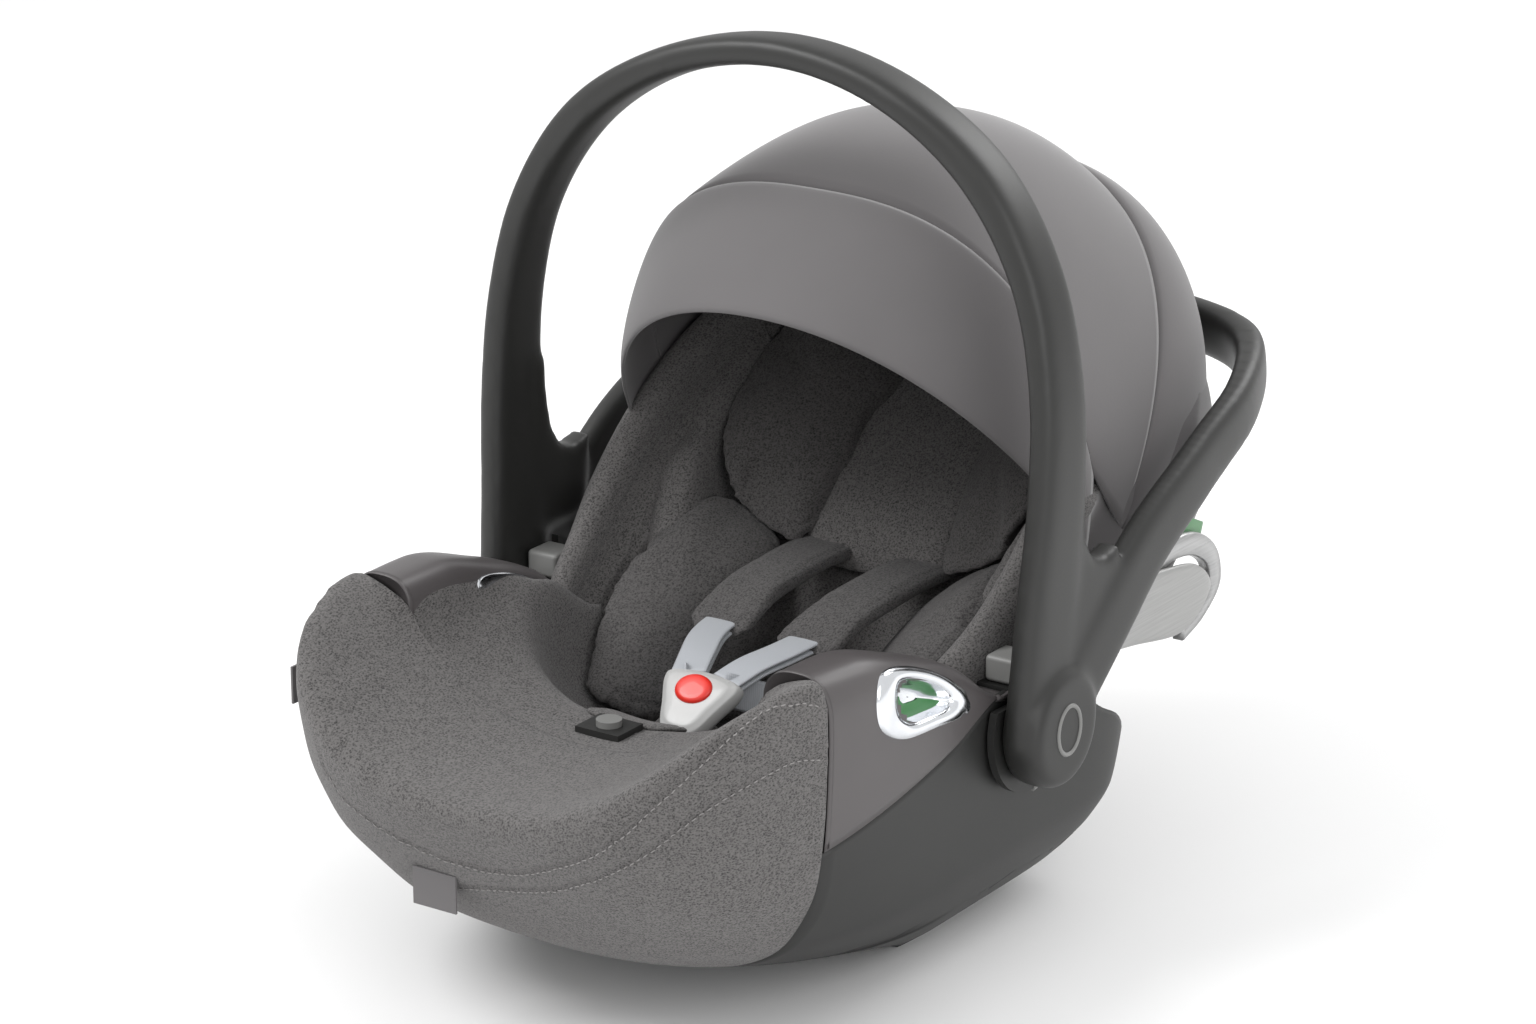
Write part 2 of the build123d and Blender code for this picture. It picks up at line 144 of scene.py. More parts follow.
def tidy(mesh, merge=0.00005):
    """Joins doubled vertices, points every face outwards and shades it smooth."""
    work = bmesh.new()
    work.from_mesh(mesh)
    bmesh.ops.remove_doubles(work, verts=work.verts, dist=merge)
    bmesh.ops.dissolve_degenerate(work, edges=work.edges, dist=1e-7)
    bmesh.ops.recalc_face_normals(work, faces=work.faces)
    work.to_mesh(mesh)
    work.free()
    mesh.polygons.foreach_set("use_smooth", [True] * len(mesh.polygons))
    mesh.update()


def sheet_mesh(name, rows, wrap_rows=False, wrap_columns=False, ends=False):
    """A surface through rows of points, wrapped or capped where asked."""
    rows = np.asarray(rows, float)
    tall, wide = rows.shape[:2]
    faces = []
    for j in range(tall if wrap_rows else tall - 1):
        for i in range(wide if wrap_columns else wide - 1):
            a, b = j * wide + i, j * wide + (i + 1) % wide
            c, d = (j + 1) % tall * wide + (i + 1) % wide, (j + 1) % tall * wide + i
            faces.append((a, b, c, d))
    if ends:
        faces.append(tuple(range(wide))[::-1])
        faces.append(tuple((tall - 1) * wide + i for i in range(wide)))
    mesh = bpy.data.meshes.new(name)
    mesh.from_pydata(place(rows.reshape(-1, 3)).tolist(), [], faces)
    tidy(mesh)
    return add_object(name, mesh)


def modify(piece, kind, **settings):
    """Adds one modifier and applies it."""
    modifier = piece.modifiers.new(kind, kind)
    for key, value in settings.items():
        setattr(modifier, key, value)
    bake(piece)


def bake(piece):
    depsgraph = bpy.context.evaluated_depsgraph_get()
    mesh = bpy.data.meshes.new_from_object(piece.evaluated_get(depsgraph))
    piece.modifiers.clear()
    piece.data = mesh
    mesh.polygons.foreach_set("use_smooth", [True] * len(mesh.polygons))


def coords(piece):
    flat = np.empty(len(piece.data.vertices) * 3)
    piece.data.vertices.foreach_get("co", flat)
    return flat.reshape(-1, 3)


def set_coords(piece, points):
    piece.data.vertices.foreach_set("co", np.asarray(points, float).ravel())
    piece.data.update()


def normals(piece):
    flat = np.empty(len(piece.data.vertices) * 3)
    piece.data.vertex_normals.foreach_get("vector", flat)
    return flat.reshape(-1, 3)


def edge_ends(mesh):
    edges = np.empty(len(mesh.edges) * 2, np.int64)
    mesh.edges.foreach_get("vertices", edges)
    return edges.reshape(-1, 2).T


def relax(piece, times, strength=0.6):
    """Evens a mesh out, as sewn padding rounds over its edges."""
    mesh = piece.data
    a, b = edge_ends(mesh)
    count = np.bincount(np.concatenate([a, b]), minlength=len(mesh.vertices))[:, None]
    points = coords(piece)
    for _ in range(times):
        total = np.zeros_like(points)
        np.add.at(total, a, points[b])
        np.add.at(total, b, points[a])
        points = points + strength * (total / np.maximum(count, 1) - points)
    set_coords(piece, points)


def swell(piece, amount):
    set_coords(piece, coords(piece) + normals(piece) * amount * MM)


def from_nodes(name, nodes, voxel):
    """One closed skin around a few solids of the frame."""
    work = bmesh.new()
    for node in nodes:
        work.from_mesh(frame["nodes"][node].data)
    mesh = bpy.data.meshes.new(name)
    work.to_mesh(mesh)
    work.free()
    piece = add_object(name, mesh)
    modify(piece, "REMESH", mode="VOXEL", voxel_size=voxel * MM)
    return piece


def near_line(points, line):
    """Distance of each point to a dense line, all in metres."""
    best = np.full(len(points), 1e9)
    for start in range(0, len(line), 64):
        part = line[start:start + 64]
        gap = np.linalg.norm(points[:, None, :] - part[None], axis=2).min(1)
        best = np.minimum(best, gap)
    return best


def sew(piece, lines, width, depth, puff=0.0):
    """Presses seams into a surface: each line is in millimetres and may lie just off it."""
    points, outward = coords(piece), normals(piece)
    for line in lines:
        dense = place(line)
        gap = near_line(points, dense) / MM
        dip = depth * np.exp(-(gap / width) ** 2)
        rise = puff * np.exp(-((gap - 2.6 * width) / (1.5 * width)) ** 2)
        points = points + outward * ((rise - dip)[:, None] * MM)
    set_coords(piece, points)


def project(line, piece, lift=0.0):
    """Drops a line in millimetres onto a piece's nearest surface."""
    tree = BVHTree.FromObject(piece, bpy.context.evaluated_depsgraph_get())
    out = []
    for point in place(line):
        spot, normal, _, _ = tree.find_nearest(Vector(point))
        spot = np.array(spot) + np.array(normal) * lift * MM
        out.append(in_mm(spot))
    return np.array(out)


def closed_tube(name, line, radius, sides):
    """A round bead along a closed line of millimetre points."""
    line = np.asarray(line, float)
    run = unit(np.roll(line, -1, 0) - np.roll(line, 1, 0))
    up = np.array([0.13, 0.27, 0.95])
    rows = []
    for point, along in zip(line, run):
        side = unit(np.cross(along, up))
        up = np.cross(side, along)
        turn = np.linspace(0, 2 * math.pi, sides, endpoint=False)
        rows.append([point + radius * (math.cos(a) * side + math.sin(a) * up) for a in turn])
    return sheet_mesh(name, rows, wrap_columns=True, wrap_rows=True)


def stitches(name, lines, length=3.4, gap=2.0, radius=0.42):
    """Short raised stitches along lines that already lie on a surface."""
    turn = np.linspace(0, 2 * math.pi, 6, endpoint=False)
    verts, faces = [], []
    for line in lines:
        line = np.asarray(line, float)
        reach = reach_of(line)
        for start in np.arange(0, reach[-1] - length, length + gap):
            spots = [np.array([np.interp(start + length * f, reach, line[:, k])
                               for k in range(3)]) for f in (0, 0.2, 0.5, 0.8, 1)]
            along = unit(spots[-1] - spots[0])
            side = unit(np.cross(along, [0.2, 0.3, 0.93]))
            up = np.cross(side, along)
            base = len(verts)
            for spot, share in zip(spots, (0.35, 0.85, 1, 0.85, 0.35)):
                verts += [spot + radius * share * (math.cos(a) * side + math.sin(a) * up)
                          for a in turn]
            for ring in range(4):
                for i in range(6):
                    a, b = base + ring * 6 + i, base + ring * 6 + (i + 1) % 6
                    faces.append((a, b, b + 6, a + 6))
            faces.append(tuple(base + i for i in range(6))[::-1])
            faces.append(tuple(base + 24 + i for i in range(6)))
    mesh = bpy.data.meshes.new(name)
    mesh.from_pydata(place(verts).tolist(), [], faces)
    tidy(mesh, 1e-6)
    return add_object(name, mesh)


# ---- materials ----
def shader(name):
    material = bpy.data.materials.new(name)
    material.use_nodes = True
    tree = material.node_tree
    return material, tree.nodes, tree.links, tree.nodes["Principled BSDF"]


def texture(nodes, links, kind, scale, stretch=(1, 1, 1), **settings):
    """A procedural texture in the frame's own coordinates."""
    coordinate = nodes.new("ShaderNodeTexCoord")
    mapping = nodes.new("ShaderNodeMapping")
    mapping.inputs["Scale"].default_value = stretch
    links.new(coordinate.outputs["Object"], mapping.inputs["Vector"])
    node = nodes.new(kind)
    node.inputs["Scale"].default_value = scale
    for key, value in settings.items():
        node.inputs[key].default_value = value
    links.new(mapping.outputs["Vector"], node.inputs["Vector"])
    return node


def ramp(nodes, links, source, stops):
    node = nodes.new("ShaderNodeValToRGB")
    while len(node.color_ramp.elements) < len(stops):
        node.color_ramp.elements.new(0.5)
    for element, (position, color) in zip(node.color_ramp.elements, stops):
        element.position = position
        element.color = (*color, 1) if len(color) == 3 else color
    links.new(source, node.inputs["Fac"])
    return node


def bump(nodes, links, source, strength, distance, before=None):
    node = nodes.new("ShaderNodeBump")
    node.inputs["Strength"].default_value = strength
    node.inputs["Distance"].default_value = distance
    links.new(source, node.inputs["Height"])
    if before is not None:
        links.new(before.outputs["Normal"], node.inputs["Normal"])
    return node


def shades(color, spread):
    return tuple(tuple(channel * k for channel in color) for k in (1 - spread, 1, 1 + spread))


def tint(nodes, links, main, source, color, spread, stops=(0.3, 0.5, 0.7)):
    """Base colour that varies a little with a texture."""
    node = ramp(nodes, links, source, tuple(zip(stops, shades(color, spread))))
    links.new(node.outputs["Color"], main.inputs["Base Color"])


def roughen(nodes, links, main, source, low, high):
    """Roughness between two (place, value) pairs of a texture."""
    node = ramp(nodes, links, source, tuple((place_at, (value,) * 3) for place_at, value in (low, high)))
    links.new(node.outputs["Color"], main.inputs["Roughness"])


def moulded(name, color, roughness, grain=0.06, spread=0.08, grain_size=2600):
    """Moulded plastic with a fine etched grain and faint cloudy variation."""
    material, nodes, links, main = shader(name)
    cloud = texture(nodes, links, "ShaderNodeTexNoise", 14, Detail=4)
    tint(nodes, links, main, cloud.outputs["Fac"], color, spread)
    fine = texture(nodes, links, "ShaderNodeTexNoise", grain_size, Detail=2)
    roughen(nodes, links, main, fine.outputs["Fac"], (0.25, roughness - 0.05), (0.75, roughness + 0.05))
    etched = bump(nodes, links, fine.outputs["Fac"], grain, 0.0003)
    links.new(etched.outputs["Normal"], main.inputs["Normal"])
    return material


def melange(name, color, contrast, relief=0.5, sheen=0.35):
    """Heathered wool-like weave: pale and dark flecks over a mottled ground."""
    material, nodes, links, main = shader(name)
    fleck = texture(nodes, links, "ShaderNodeTexNoise", 560, (1, 1, 1.5), Detail=4, Roughness=0.75)
    strand = texture(nodes, links, "ShaderNodeTexVoronoi", 900, (1, 0.6, 1))
    cloud = texture(nodes, links, "ShaderNodeTexNoise", 60, Detail=3)
    mix = nodes.new("ShaderNodeMix")
    mix.data_type = "FLOAT"
    mix.inputs[0].default_value = 0.3
    links.new(fleck.outputs["Fac"], mix.inputs[2])
    links.new(strand.outputs["Distance"], mix.inputs[3])
    soft = nodes.new("ShaderNodeMix")
    soft.data_type = "FLOAT"
    soft.inputs[0].default_value = 0.05
    links.new(mix.outputs[0], soft.inputs[2])
    links.new(cloud.outputs["Fac"], soft.inputs[3])
    low, mid, high = shades(color, contrast)
    flecks = ramp(nodes, links, soft.outputs[0],
                  ((0.33, low), (0.43, mid), (0.50, high), (0.62, tuple(c * 1.25 for c in high))))
    links.new(flecks.outputs["Color"], main.inputs["Base Color"])
    main.inputs["Roughness"].default_value = 0.95
    main.inputs["Sheen Weight"].default_value = sheen
    main.inputs["Sheen Roughness"].default_value = 0.6
    rough = bump(nodes, links, soft.outputs[0], relief, 0.0012)
    links.new(rough.outputs["Normal"], main.inputs["Normal"])
    return material


def plain_cloth(name, color, sheen=0.5, roughness=0.8, weave=1500):
    """Smooth tightly woven cover fabric with a satin sheen."""
    material, nodes, links, main = shader(name)
    cloud = texture(nodes, links, "ShaderNodeTexNoise", 9, Detail=3)
    tint(nodes, links, main, cloud.outputs["Fac"], color, 0.05)
    main.inputs["Roughness"].default_value = roughness
    main.inputs["Sheen Weight"].default_value = sheen
    main.inputs["Sheen Roughness"].default_value = 0.45
    across = texture(nodes, links, "ShaderNodeTexNoise", weave, (1, 0.25, 0.25), Detail=2)
    down = texture(nodes, links, "ShaderNodeTexNoise", weave, (0.25, 1, 1), Detail=2)
    first = bump(nodes, links, across.outputs["Fac"], 0.12, 0.0003)
    second = bump(nodes, links, down.outputs["Fac"], 0.12, 0.0003, first)
    links.new(second.outputs["Normal"], main.inputs["Normal"])
    return material


def brushed(name, color, roughness, metallic, stretch, depth=0.15):
    """Brushed or satin metal, with fine lines along its length."""
    material, nodes, links, main = shader(name)
    lines = texture(nodes, links, "ShaderNodeTexNoise", 900, stretch, Detail=3)
    tint(nodes, links, main, lines.outputs["Fac"], color, 0.12)
    main.inputs["Metallic"].default_value = metallic
    roughen(nodes, links, main, lines.outputs["Fac"], (0.3, roughness - 0.06), (0.7, roughness + 0.08))
    fine = bump(nodes, links, lines.outputs["Fac"], depth, 0.0002)
    links.new(fine.outputs["Normal"], main.inputs["Normal"])
    return material


def woven_belt(name, color):
    """Polyester webbing: close ribs along the belt with a slight shimmer."""
    material, nodes, links, main = shader(name)
    ribs = texture(nodes, links, "ShaderNodeTexWave", 420, Distortion=0.6, Detail=1)
    fine = texture(nodes, links, "ShaderNodeTexNoise", 2200, (1, 0.3, 1), Detail=2)
    tint(nodes, links, main, ribs.outputs["Fac"], color, 0.07, (0.1, 0.5, 0.9))
    main.inputs["Roughness"].default_value = 0.45
    main.inputs["Sheen Weight"].default_value = 0.25
    first = bump(nodes, links, ribs.outputs["Fac"], 0.25, 0.0004)
    second = bump(nodes, links, fine.outputs["Fac"], 0.2, 0.0003, first)
    links.new(second.outputs["Normal"], main.inputs["Normal"])
    return material


def glossy(name, color, roughness, metallic=0.0, coat=0.0):
    """Smooth gloss plastic or plated trim with slight cloudy wear."""
    material, nodes, links, main = shader(name)
    cloud = texture(nodes, links, "ShaderNodeTexNoise", 70, Detail=3)
    tint(nodes, links, main, cloud.outputs["Fac"], color, 0.04, (0.35, 0.5, 0.65))
    roughen(nodes, links, main, cloud.outputs["Fac"], (0.3, roughness * 0.8), (0.7, roughness * 1.2))
    main.inputs["Metallic"].default_value = metallic
    main.inputs["Coat Weight"].default_value = coat
    return material


CHARCOAL = (0.0165, 0.0165, 0.0158)
WARM_GREY = (0.082, 0.075, 0.076)
charcoal_shell = moulded("charcoal_shell", CHARCOAL, 0.48)
charcoal_handle = moulded("charcoal_handle", (0.0175, 0.0175, 0.0165), 0.45, grain=0.04)
grey_trim = moulded("grey_trim", WARM_GREY, 0.38, grain=0.03, spread=0.04)
light_grey = moulded("light_grey", (0.20, 0.20, 0.194), 0.42)
cover_melange = melange("cover_melange", (0.060, 0.057, 0.056), 0.85, 0.7, 0.12)
inlay_melange = melange("inlay_melange", (0.045, 0.0425, 0.042), 0.8, 0.7, 0.1)
wing_melange = melange("wing_melange", (0.043, 0.0405, 0.040), 0.8, 0.7, 0.1)
canopy_cloth = plain_cloth("canopy_cloth", (0.118, 0.112, 0.114), sheen=0.35)
thread = plain_cloth("thread", (0.26, 0.25, 0.245), sheen=0.2, weave=4000)
belt_cloth = woven_belt("belt_cloth", (0.44, 0.46, 0.49))
buckle_plastic = glossy("buckle_plastic", (0.50, 0.50, 0.495), 0.34, coat=0.2)
red_plastic = glossy("red_plastic", (0.80, 0.030, 0.018), 0.35, coat=0.3)
green_plastic = glossy("green_plastic", (0.045, 0.205, 0.060), 0.35, coat=0.2)
silver = glossy("silver", (0.80, 0.82, 0.85), 0.16, metallic=1.0)
satin_silver = brushed("satin_silver", (0.42, 0.42, 0.42), 0.33, 0.85, (0.2, 0.02, 1))
flap_metal = brushed("flap_metal", (0.36, 0.36, 0.355), 0.42, 0.55, (0.25, 0.02, 1), 0.35)
steel = brushed("steel", (0.55, 0.55, 0.55), 0.35, 1.0, (0.05, 1, 1))


def finish(piece, body, material, slot, *nodes):
    """Gives a piece its material and body, and hides the frame's nodes that it stands for; the slot
    argument is not used.
    """
    piece.data.materials.clear()
    piece.data.materials.append(material)
    if body is not None:
        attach(piece, body)
    if nodes:
        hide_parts(*nodes)
    return piece


# ---- rocker tub ----
# z, front and rear ends from the hub, half width, corner power at the front
TUB = ((0, -40, 62, 118, 2.2), (13, -105, 94, 136, 2.2), (26, -160, 122, 152, 2.3),
       (45, -236, 148, 165, 2.4), (66, -270, 160, 173, 2.8), (111, -303, 163, 179, 3.7),
       (155, -330, 163, 182, 3.6), (205, -344, 163, 183, 3.5), (245, -345, 163, 182, 3.5))
TUB_MID = -40
REAR_POWER = 11
SPLIT_Y = -206
RIM_LINE = ((-345, 240), (-208, 240), (-165, 239), (-105, 222), (-59, 203), (-22, 176),
            (30, 176), (62, 158), (100, 129), (126, 104), (154, 66), (158, 50), (165, 50))
BORDER = ((-212, 133), (-140, 146), (-78, 160), (-22, 178), (30, 178), (62, 158), (100, 131),
          (128, 116), (150, 92), (161, 60), (170, 52))


def ring_at(z, turn, inset=0.0):
    """A point of the level outline in a direction seen from above."""
    front, rear, half, exponent = columns(TUB, z)
    c, s = np.cos(turn), np.sin(turn)
    length = np.where(s >= 0, rear - TUB_MID, TUB_MID - front) - inset
    exponent = np.where(s >= 0, REAR_POWER, exponent)
    reach = (np.abs(c / (half - inset)) ** exponent + np.abs(s / length) ** exponent) ** (-1 / exponent)
    return reach * c, TUB_MID + reach * s


def tub_side(y, z, inset=0.0):
    """Half width of the tub at a place along it and a height."""
    front, rear, half, exponent = columns(TUB, z)
    behind = y >= TUB_MID
    length = np.where(behind, rear - TUB_MID, TUB_MID - front) - inset
    exponent = np.where(behind, REAR_POWER, exponent)
    share = np.clip(np.abs(y - TUB_MID) / length, 0, 1) ** exponent
    return (half - inset) * (1 - share) ** (1 / exponent)


def split_turn(z):
    """Where the fabric front ends, as a direction; straight ahead where it isn't reached."""
    low, high = -math.pi / 2, 0.0
    if ring_at(z, low)[1] > SPLIT_Y:
        return low
    for _ in range(30):
        middle = (low + high) / 2
        low, high = (middle, high) if ring_at(z, middle)[1] < SPLIT_Y else (low, middle)
    return high


def build_lower_shell():
    """Charcoal rocker shell under the seat, open between its two tail corners."""
    steps, levels = 90, 46
    share = np.linspace(0, 1, steps) ** 0.9
    rows = []
    tops = []
    for a in share:
        top = 150.0
        for _ in range(12):
            start = split_turn(top)
            x, y = ring_at(top, start + a * (math.pi / 2 - start))
            line = ease(*np.array(BORDER).T, y)
            if abs(x) < 150 and y > 20:
                line = min(line, 52)
            top = 0.5 * top + 0.5 * float(line)
        tops.append(top)
    for level in np.linspace(0, 1, levels) ** 1.25:
        half = []
        for a, top in zip(share, tops):
            z = level * top
            start = split_turn(z)
            x, y = ring_at(z, start + a * (math.pi / 2 - start))
            half.append((float(x), float(y), z))
        rows.append(half)
    floor = [[(x * k, TUB_MID + 51 * (1 - k) + (y - TUB_MID) * k, 0) for x, y, _ in rows[0]]
             for k in (0.02, 0.35, 0.7)]
    right = np.array(floor + rows)
    left = right * np.array([-1, 1, 1])
    both = np.concatenate([left[:, ::-1][:, :-1], right], axis=1)
    shell = sheet_mesh("rocker_shell", both)
    modify(shell, "SOLIDIFY", thickness=4.0 * MM, offset=-1)
    return finish(shell, "base", charcoal_shell, "shell_plastic", "lower_shell")


build_lower_shell()


def side_section(y, side):
    """Section of a side trim: up the outer wall, over the broad round top and down inside."""
    low = float(ease(*np.array(BORDER).T, y)) + 0.6
    top = float(ease(*np.array(RIM_LINE).T, y)) + 2
    rise = max(min(34, (top - low) * 0.7), 1.5)
    points = [(float(tub_side(y, z)) + 0.4, z) for z in np.linspace(low, top - rise, 12)]
    outer, inner = points[-1][0], 131
    span = outer - inner
    for turn in np.linspace(0, math.pi, 33)[1:]:
        across, up = power(turn, 1, 1, 2.7)
        drop = rise if across > 0 else 22
        points.append((inner + span / 2 * (1 + float(across)), top - drop * (1 - float(up))))
    points += [(inner, z) for z in np.linspace(points[-1][1], top - 70, 9)[1:]]
    return [(x * side, y, z) for x, z in points]


def keep_faces(piece, wanted):
    work = bmesh.new()
    work.from_mesh(piece.data)
    work.faces.ensure_lookup_table()
    bmesh.ops.delete(work, geom=[work.faces[k] for k in np.flatnonzero(~wanted)], context="FACES")
    loose = [v for v in work.verts if not v.link_faces]
    bmesh.ops.delete(work, geom=loose, context="VERTS")
    work.to_mesh(piece.data)
    work.free()
    piece.data.update()


def build_trim(name, side):
    stations = np.linspace(SPLIT_Y + 0.4, -18, 64)
    rows = [side_section(y, side) for y in stations]
    caps = []
    for row, step in ((rows[0], 2.0), (rows[-1], 0.0)):
        row = np.array(row)
        core = np.array([side * 157, row[0, 1] + step, row[:, 2].mean()])
        caps.append([core + (row - [0, row[0, 1] - core[1], 0] - core) * k for k in (0.3, 0.97)])
    trim = sheet_mesh(f"trim_{name}", caps[0] + rows + caps[1][::-1])
    modify(trim, "SOLIDIFY", thickness=2.5 * MM, offset=-1)
    return finish(trim, "base", grey_trim, "trim_plastic", f"side_trim_{name}")


trims = {name: build_trim(name, side) for name, side in SIDES}

# Belt guides: a silver dish let into each trim, seen from outside and from inside.
BEZEL = ((-49, 2), (-38, 17), (-6, 22), (28, 17), (50, 5), (40, -7), (8, -17), (-25, -25),
         (-45, -17))
BEZEL_STEPS = 96
# the trims' own coordinates: along the seat, and over the top from the outer shoulder
GUIDE_Y = np.linspace(-196, -20, 60)
GUIDE_S = np.linspace(-70, 130, 120)


def trim_grid(side):
    """Points of a trim by place along it and distance over its top from its outer shoulder."""
    grid = []
    for y in GUIDE_Y:
        line = np.array(side_section(y, side))
        reach = reach_of(line)
        start = reach[np.argmax(line[:, 2] > line[:, 2].max() - 30)]
        grid.append(np.stack([np.interp(GUIDE_S + start, reach, line[:, k]) for k in range(3)], 1))
    return np.array(grid)


def sample(grid, y, s):
    """The trim's surface at a place along it and a distance over its top."""
    tall, wide = grid.shape[:2]
    fy = np.clip(np.interp(y, GUIDE_Y, np.arange(tall)), 0, tall - 1.001)
    fs = np.clip(np.interp(s, GUIDE_S, np.arange(wide)), 0, wide - 1.001)
    a, b = fy.astype(int), fs.astype(int)
    u, v = (fy - a)[..., None], (fs - b)[..., None]
    return ((1 - u) * (1 - v) * grid[a, b] + u * (1 - v) * grid[a + 1, b]
            + (1 - u) * v * grid[a, b + 1] + u * v * grid[a + 1, b + 1])


def dish(name, side, grid, at_y, at_s, flip):
    """A bezel with a pocket, laid on a trim at a place along it and over it."""
    edge = closed_curve(np.array(BEZEL) * [1, flip], BEZEL_STEPS)

    def ring(scale, lift):
        flat = edge * scale + np.array([2, 2 * flip]) * (1 - scale)
        y, s = at_y + flat[:, 0], at_s + flat[:, 1]
        spot = sample(grid, y, s)
        out = np.cross(sample(grid, y + 3, s) - sample(grid, y - 3, s),
                       sample(grid, y, s + 3) - sample(grid, y, s - 3))
        out = unit(out)
        out = out * np.sign(((spot - [side * 156, at_y, 190]) * out).sum(1))[:, None]
        return spot + out * lift
    rows = [ring(1.03, -3), ring(1.0, 0.8), ring(0.96, 1.9), ring(0.84, 2.4), ring(0.70, 1.9),
            ring(0.62, 0.6), ring(0.59, -2), ring(0.54, -8), ring(0.40, -12), ring(0.2, -13),
            ring(0.02, -13)]
    bezel = sheet_mesh(f"belt_bezel_{name}", rows, wrap_columns=True)
    low = np.flatnonzero(edge[:, 1] * flip < 2)
    gap = np.argmax(np.diff(np.concatenate([low, low[:1] + BEZEL_STEPS])))
    order = np.roll(low, -gap - 1)
    green = sheet_mesh(f"belt_mark_{name}", [ring(k, lift)[order] for k, lift in
                                             ((0.612, -1.0), (0.55, -7.0), (0.41, -11.0), (0.2, -12.2))])
    return bezel, green


for name, side in SIDES:
    trim, grid = trims[name], trim_grid(side)
    knots = KDTree(grid.shape[0] * grid.shape[1])
    for k, spot in enumerate(grid.reshape(-1, 3)):
        knots.insert(spot, k)
    knots.balance()
    nearest = [knots.find(in_mm(p.center))[1] for p in trim.data.polygons]
    rows_at, columns_at = np.divmod(nearest, len(GUIDE_S))
    face_y, face_s = GUIDE_Y[rows_at], GUIDE_S[columns_at]
    keep = np.ones(len(nearest), bool)
    for where, at_y, at_s, flip in (("outer", -112, 3, 1), ("inner", -94, 89, -1)):
        keep &= ((face_y - at_y - 1) / 31) ** 2 + ((face_s - at_s) / 14) ** 2 > 1
        bezel, green = dish(f"{name}_{where}", side, grid, at_y, at_s, flip)
        stands_for = (f"belt_guide_{name}",) if where == "outer" else ()
        finish(bezel, "base", silver, "silver_trim", *stands_for)
        stands_for = ("belt_marks",) if where == "outer" and side > 0 else ()
        finish(green, "base", green_plastic, "green_mark", *stands_for)
    keep_faces(trim, keep)


# ---- padded masses, from the frame's solids ----
def facts(piece):
    """Centres in millimetres and normals of a piece's faces."""
    count = len(piece.data.polygons)
    centre, normal = np.empty(count * 3), np.empty(count * 3)
    piece.data.polygons.foreach_get("center", centre)
    piece.data.polygons.foreach_get("normal", normal)
    return in_mm(centre.reshape(-1, 3)), normal.reshape(-1, 3)


def biggest(piece):
    """Drops the small closed shells that a voxel skin leaves inside."""
    mesh = piece.data
    a, b = edge_ends(mesh)
    label = np.arange(len(mesh.vertices))
    while True:
        low = np.minimum(label[a], label[b])
        fresh = label.copy()
        np.minimum.at(fresh, a, low)
        np.minimum.at(fresh, b, low)
        fresh = fresh[fresh]
        if (fresh == label).all():
            break
        label = fresh
    main = np.bincount(label).argmax()
    first = np.array([polygon.vertices[0] for polygon in mesh.polygons])
    keep_faces(piece, label[first] == main)


def copy_of(piece, name):
    return add_object(name, piece.data.copy())


def cut(piece, at, direction):
    """Cuts a piece with a plane; the side that the direction points to goes."""
    work = bmesh.new()
    work.from_mesh(piece.data)
    bmesh.ops.bisect_plane(work, geom=work.verts[:] + work.edges[:] + work.faces[:],
                           plane_co=place(at), plane_no=direction, clear_outer=True)
    work.to_mesh(piece.data)
    work.free()
    piece.data.update()


def hem_in(piece, reach, drop):
    """Turns the open edges inwards, as a sewn edge."""
    work = bmesh.new()
    work.from_mesh(piece.data)
    edges = [e for e in work.edges if e.is_boundary]
    for share in (0.5, 1.0):
        out = bmesh.ops.extrude_edge_only(work, edges=edges)["geom"]
        edges = [g for g in out if isinstance(g, bmesh.types.BMEdge)]
        for vert in {v for e in edges for v in e.verts}:
            vert.co += Vector(reach) * MM * share
            inward = Vector((0, vert.co.y, 0.13)) - vert.co
            vert.co += inward.normalized() * drop * MM * share
    bmesh.ops.recalc_face_normals(work, faces=work.faces)
    work.to_mesh(piece.data)
    work.free()
    piece.data.polygons.foreach_set("use_smooth", [True] * len(piece.data.polygons))


lower = from_nodes("lower_mass", ("front_cover", "front_foam", "seat_foam", "seat_cushion",
                                  "side_trim_left", "side_trim_right", "lower_shell"), 4.0)
biggest(lower)
relax(lower, 26)
swell(lower, 1.0)
# Sewn lines of the leg rest: the top panel's border and a second line below it.
PANEL_TOP = curve([(-104, -322, 162), (-107, -322, 182), (-109, -306, 198), (-113, -264, 204),
                   (-106, -220, 197), (-70, -196, 178), (-20, -176, 164), (30, -168, 162)], 160)
PANEL_LOW = curve([(-104, -322, 162), (-96, -319, 147), (-79, -317, 137), (-31, -312, 123),
                   (19, -312, 124), (66, -321, 142), (107, -321, 168), (127, -314, 189),
                   (147, -294, 214), (158, -267, 232), (164, -245, 238), (170, -228, 238),
                   (175, -208, 231)], 260)
SECOND_LINE = curve([(-60, -290, 84), (-11, -298, 102), (42, -307, 116), (87, -314, 137),
                     (124, -310, 162), (148, -290, 186), (165, -258, 200), (172, -231, 204),
                     (177, -208, 199)], 220)
sew(lower, (PANEL_TOP, PANEL_LOW, SECOND_LINE), 1.7, 1.5, 0.5)
front = copy_of(lower, "leg_rest_cover")
cut(front, (0, SPLIT_Y - 0.8, 0), (0, 1, 0))
hem_in(front, (0, 1.5, 0), 5)
finish(front, "base", cover_melange, "melange_fabric", "front_cover", "front_foam")
rows_of_stitches = [project(line + [0, shift_y, shift_z], front, 0.25) for line, shift_y, shift_z in
                    ((PANEL_LOW, -2.0, -3.6), (SECOND_LINE, -2.0, -3.6))]
sewn = stitches("leg_rest_stitches", rows_of_stitches)
finish(sewn, "base", thread, "melange_fabric")

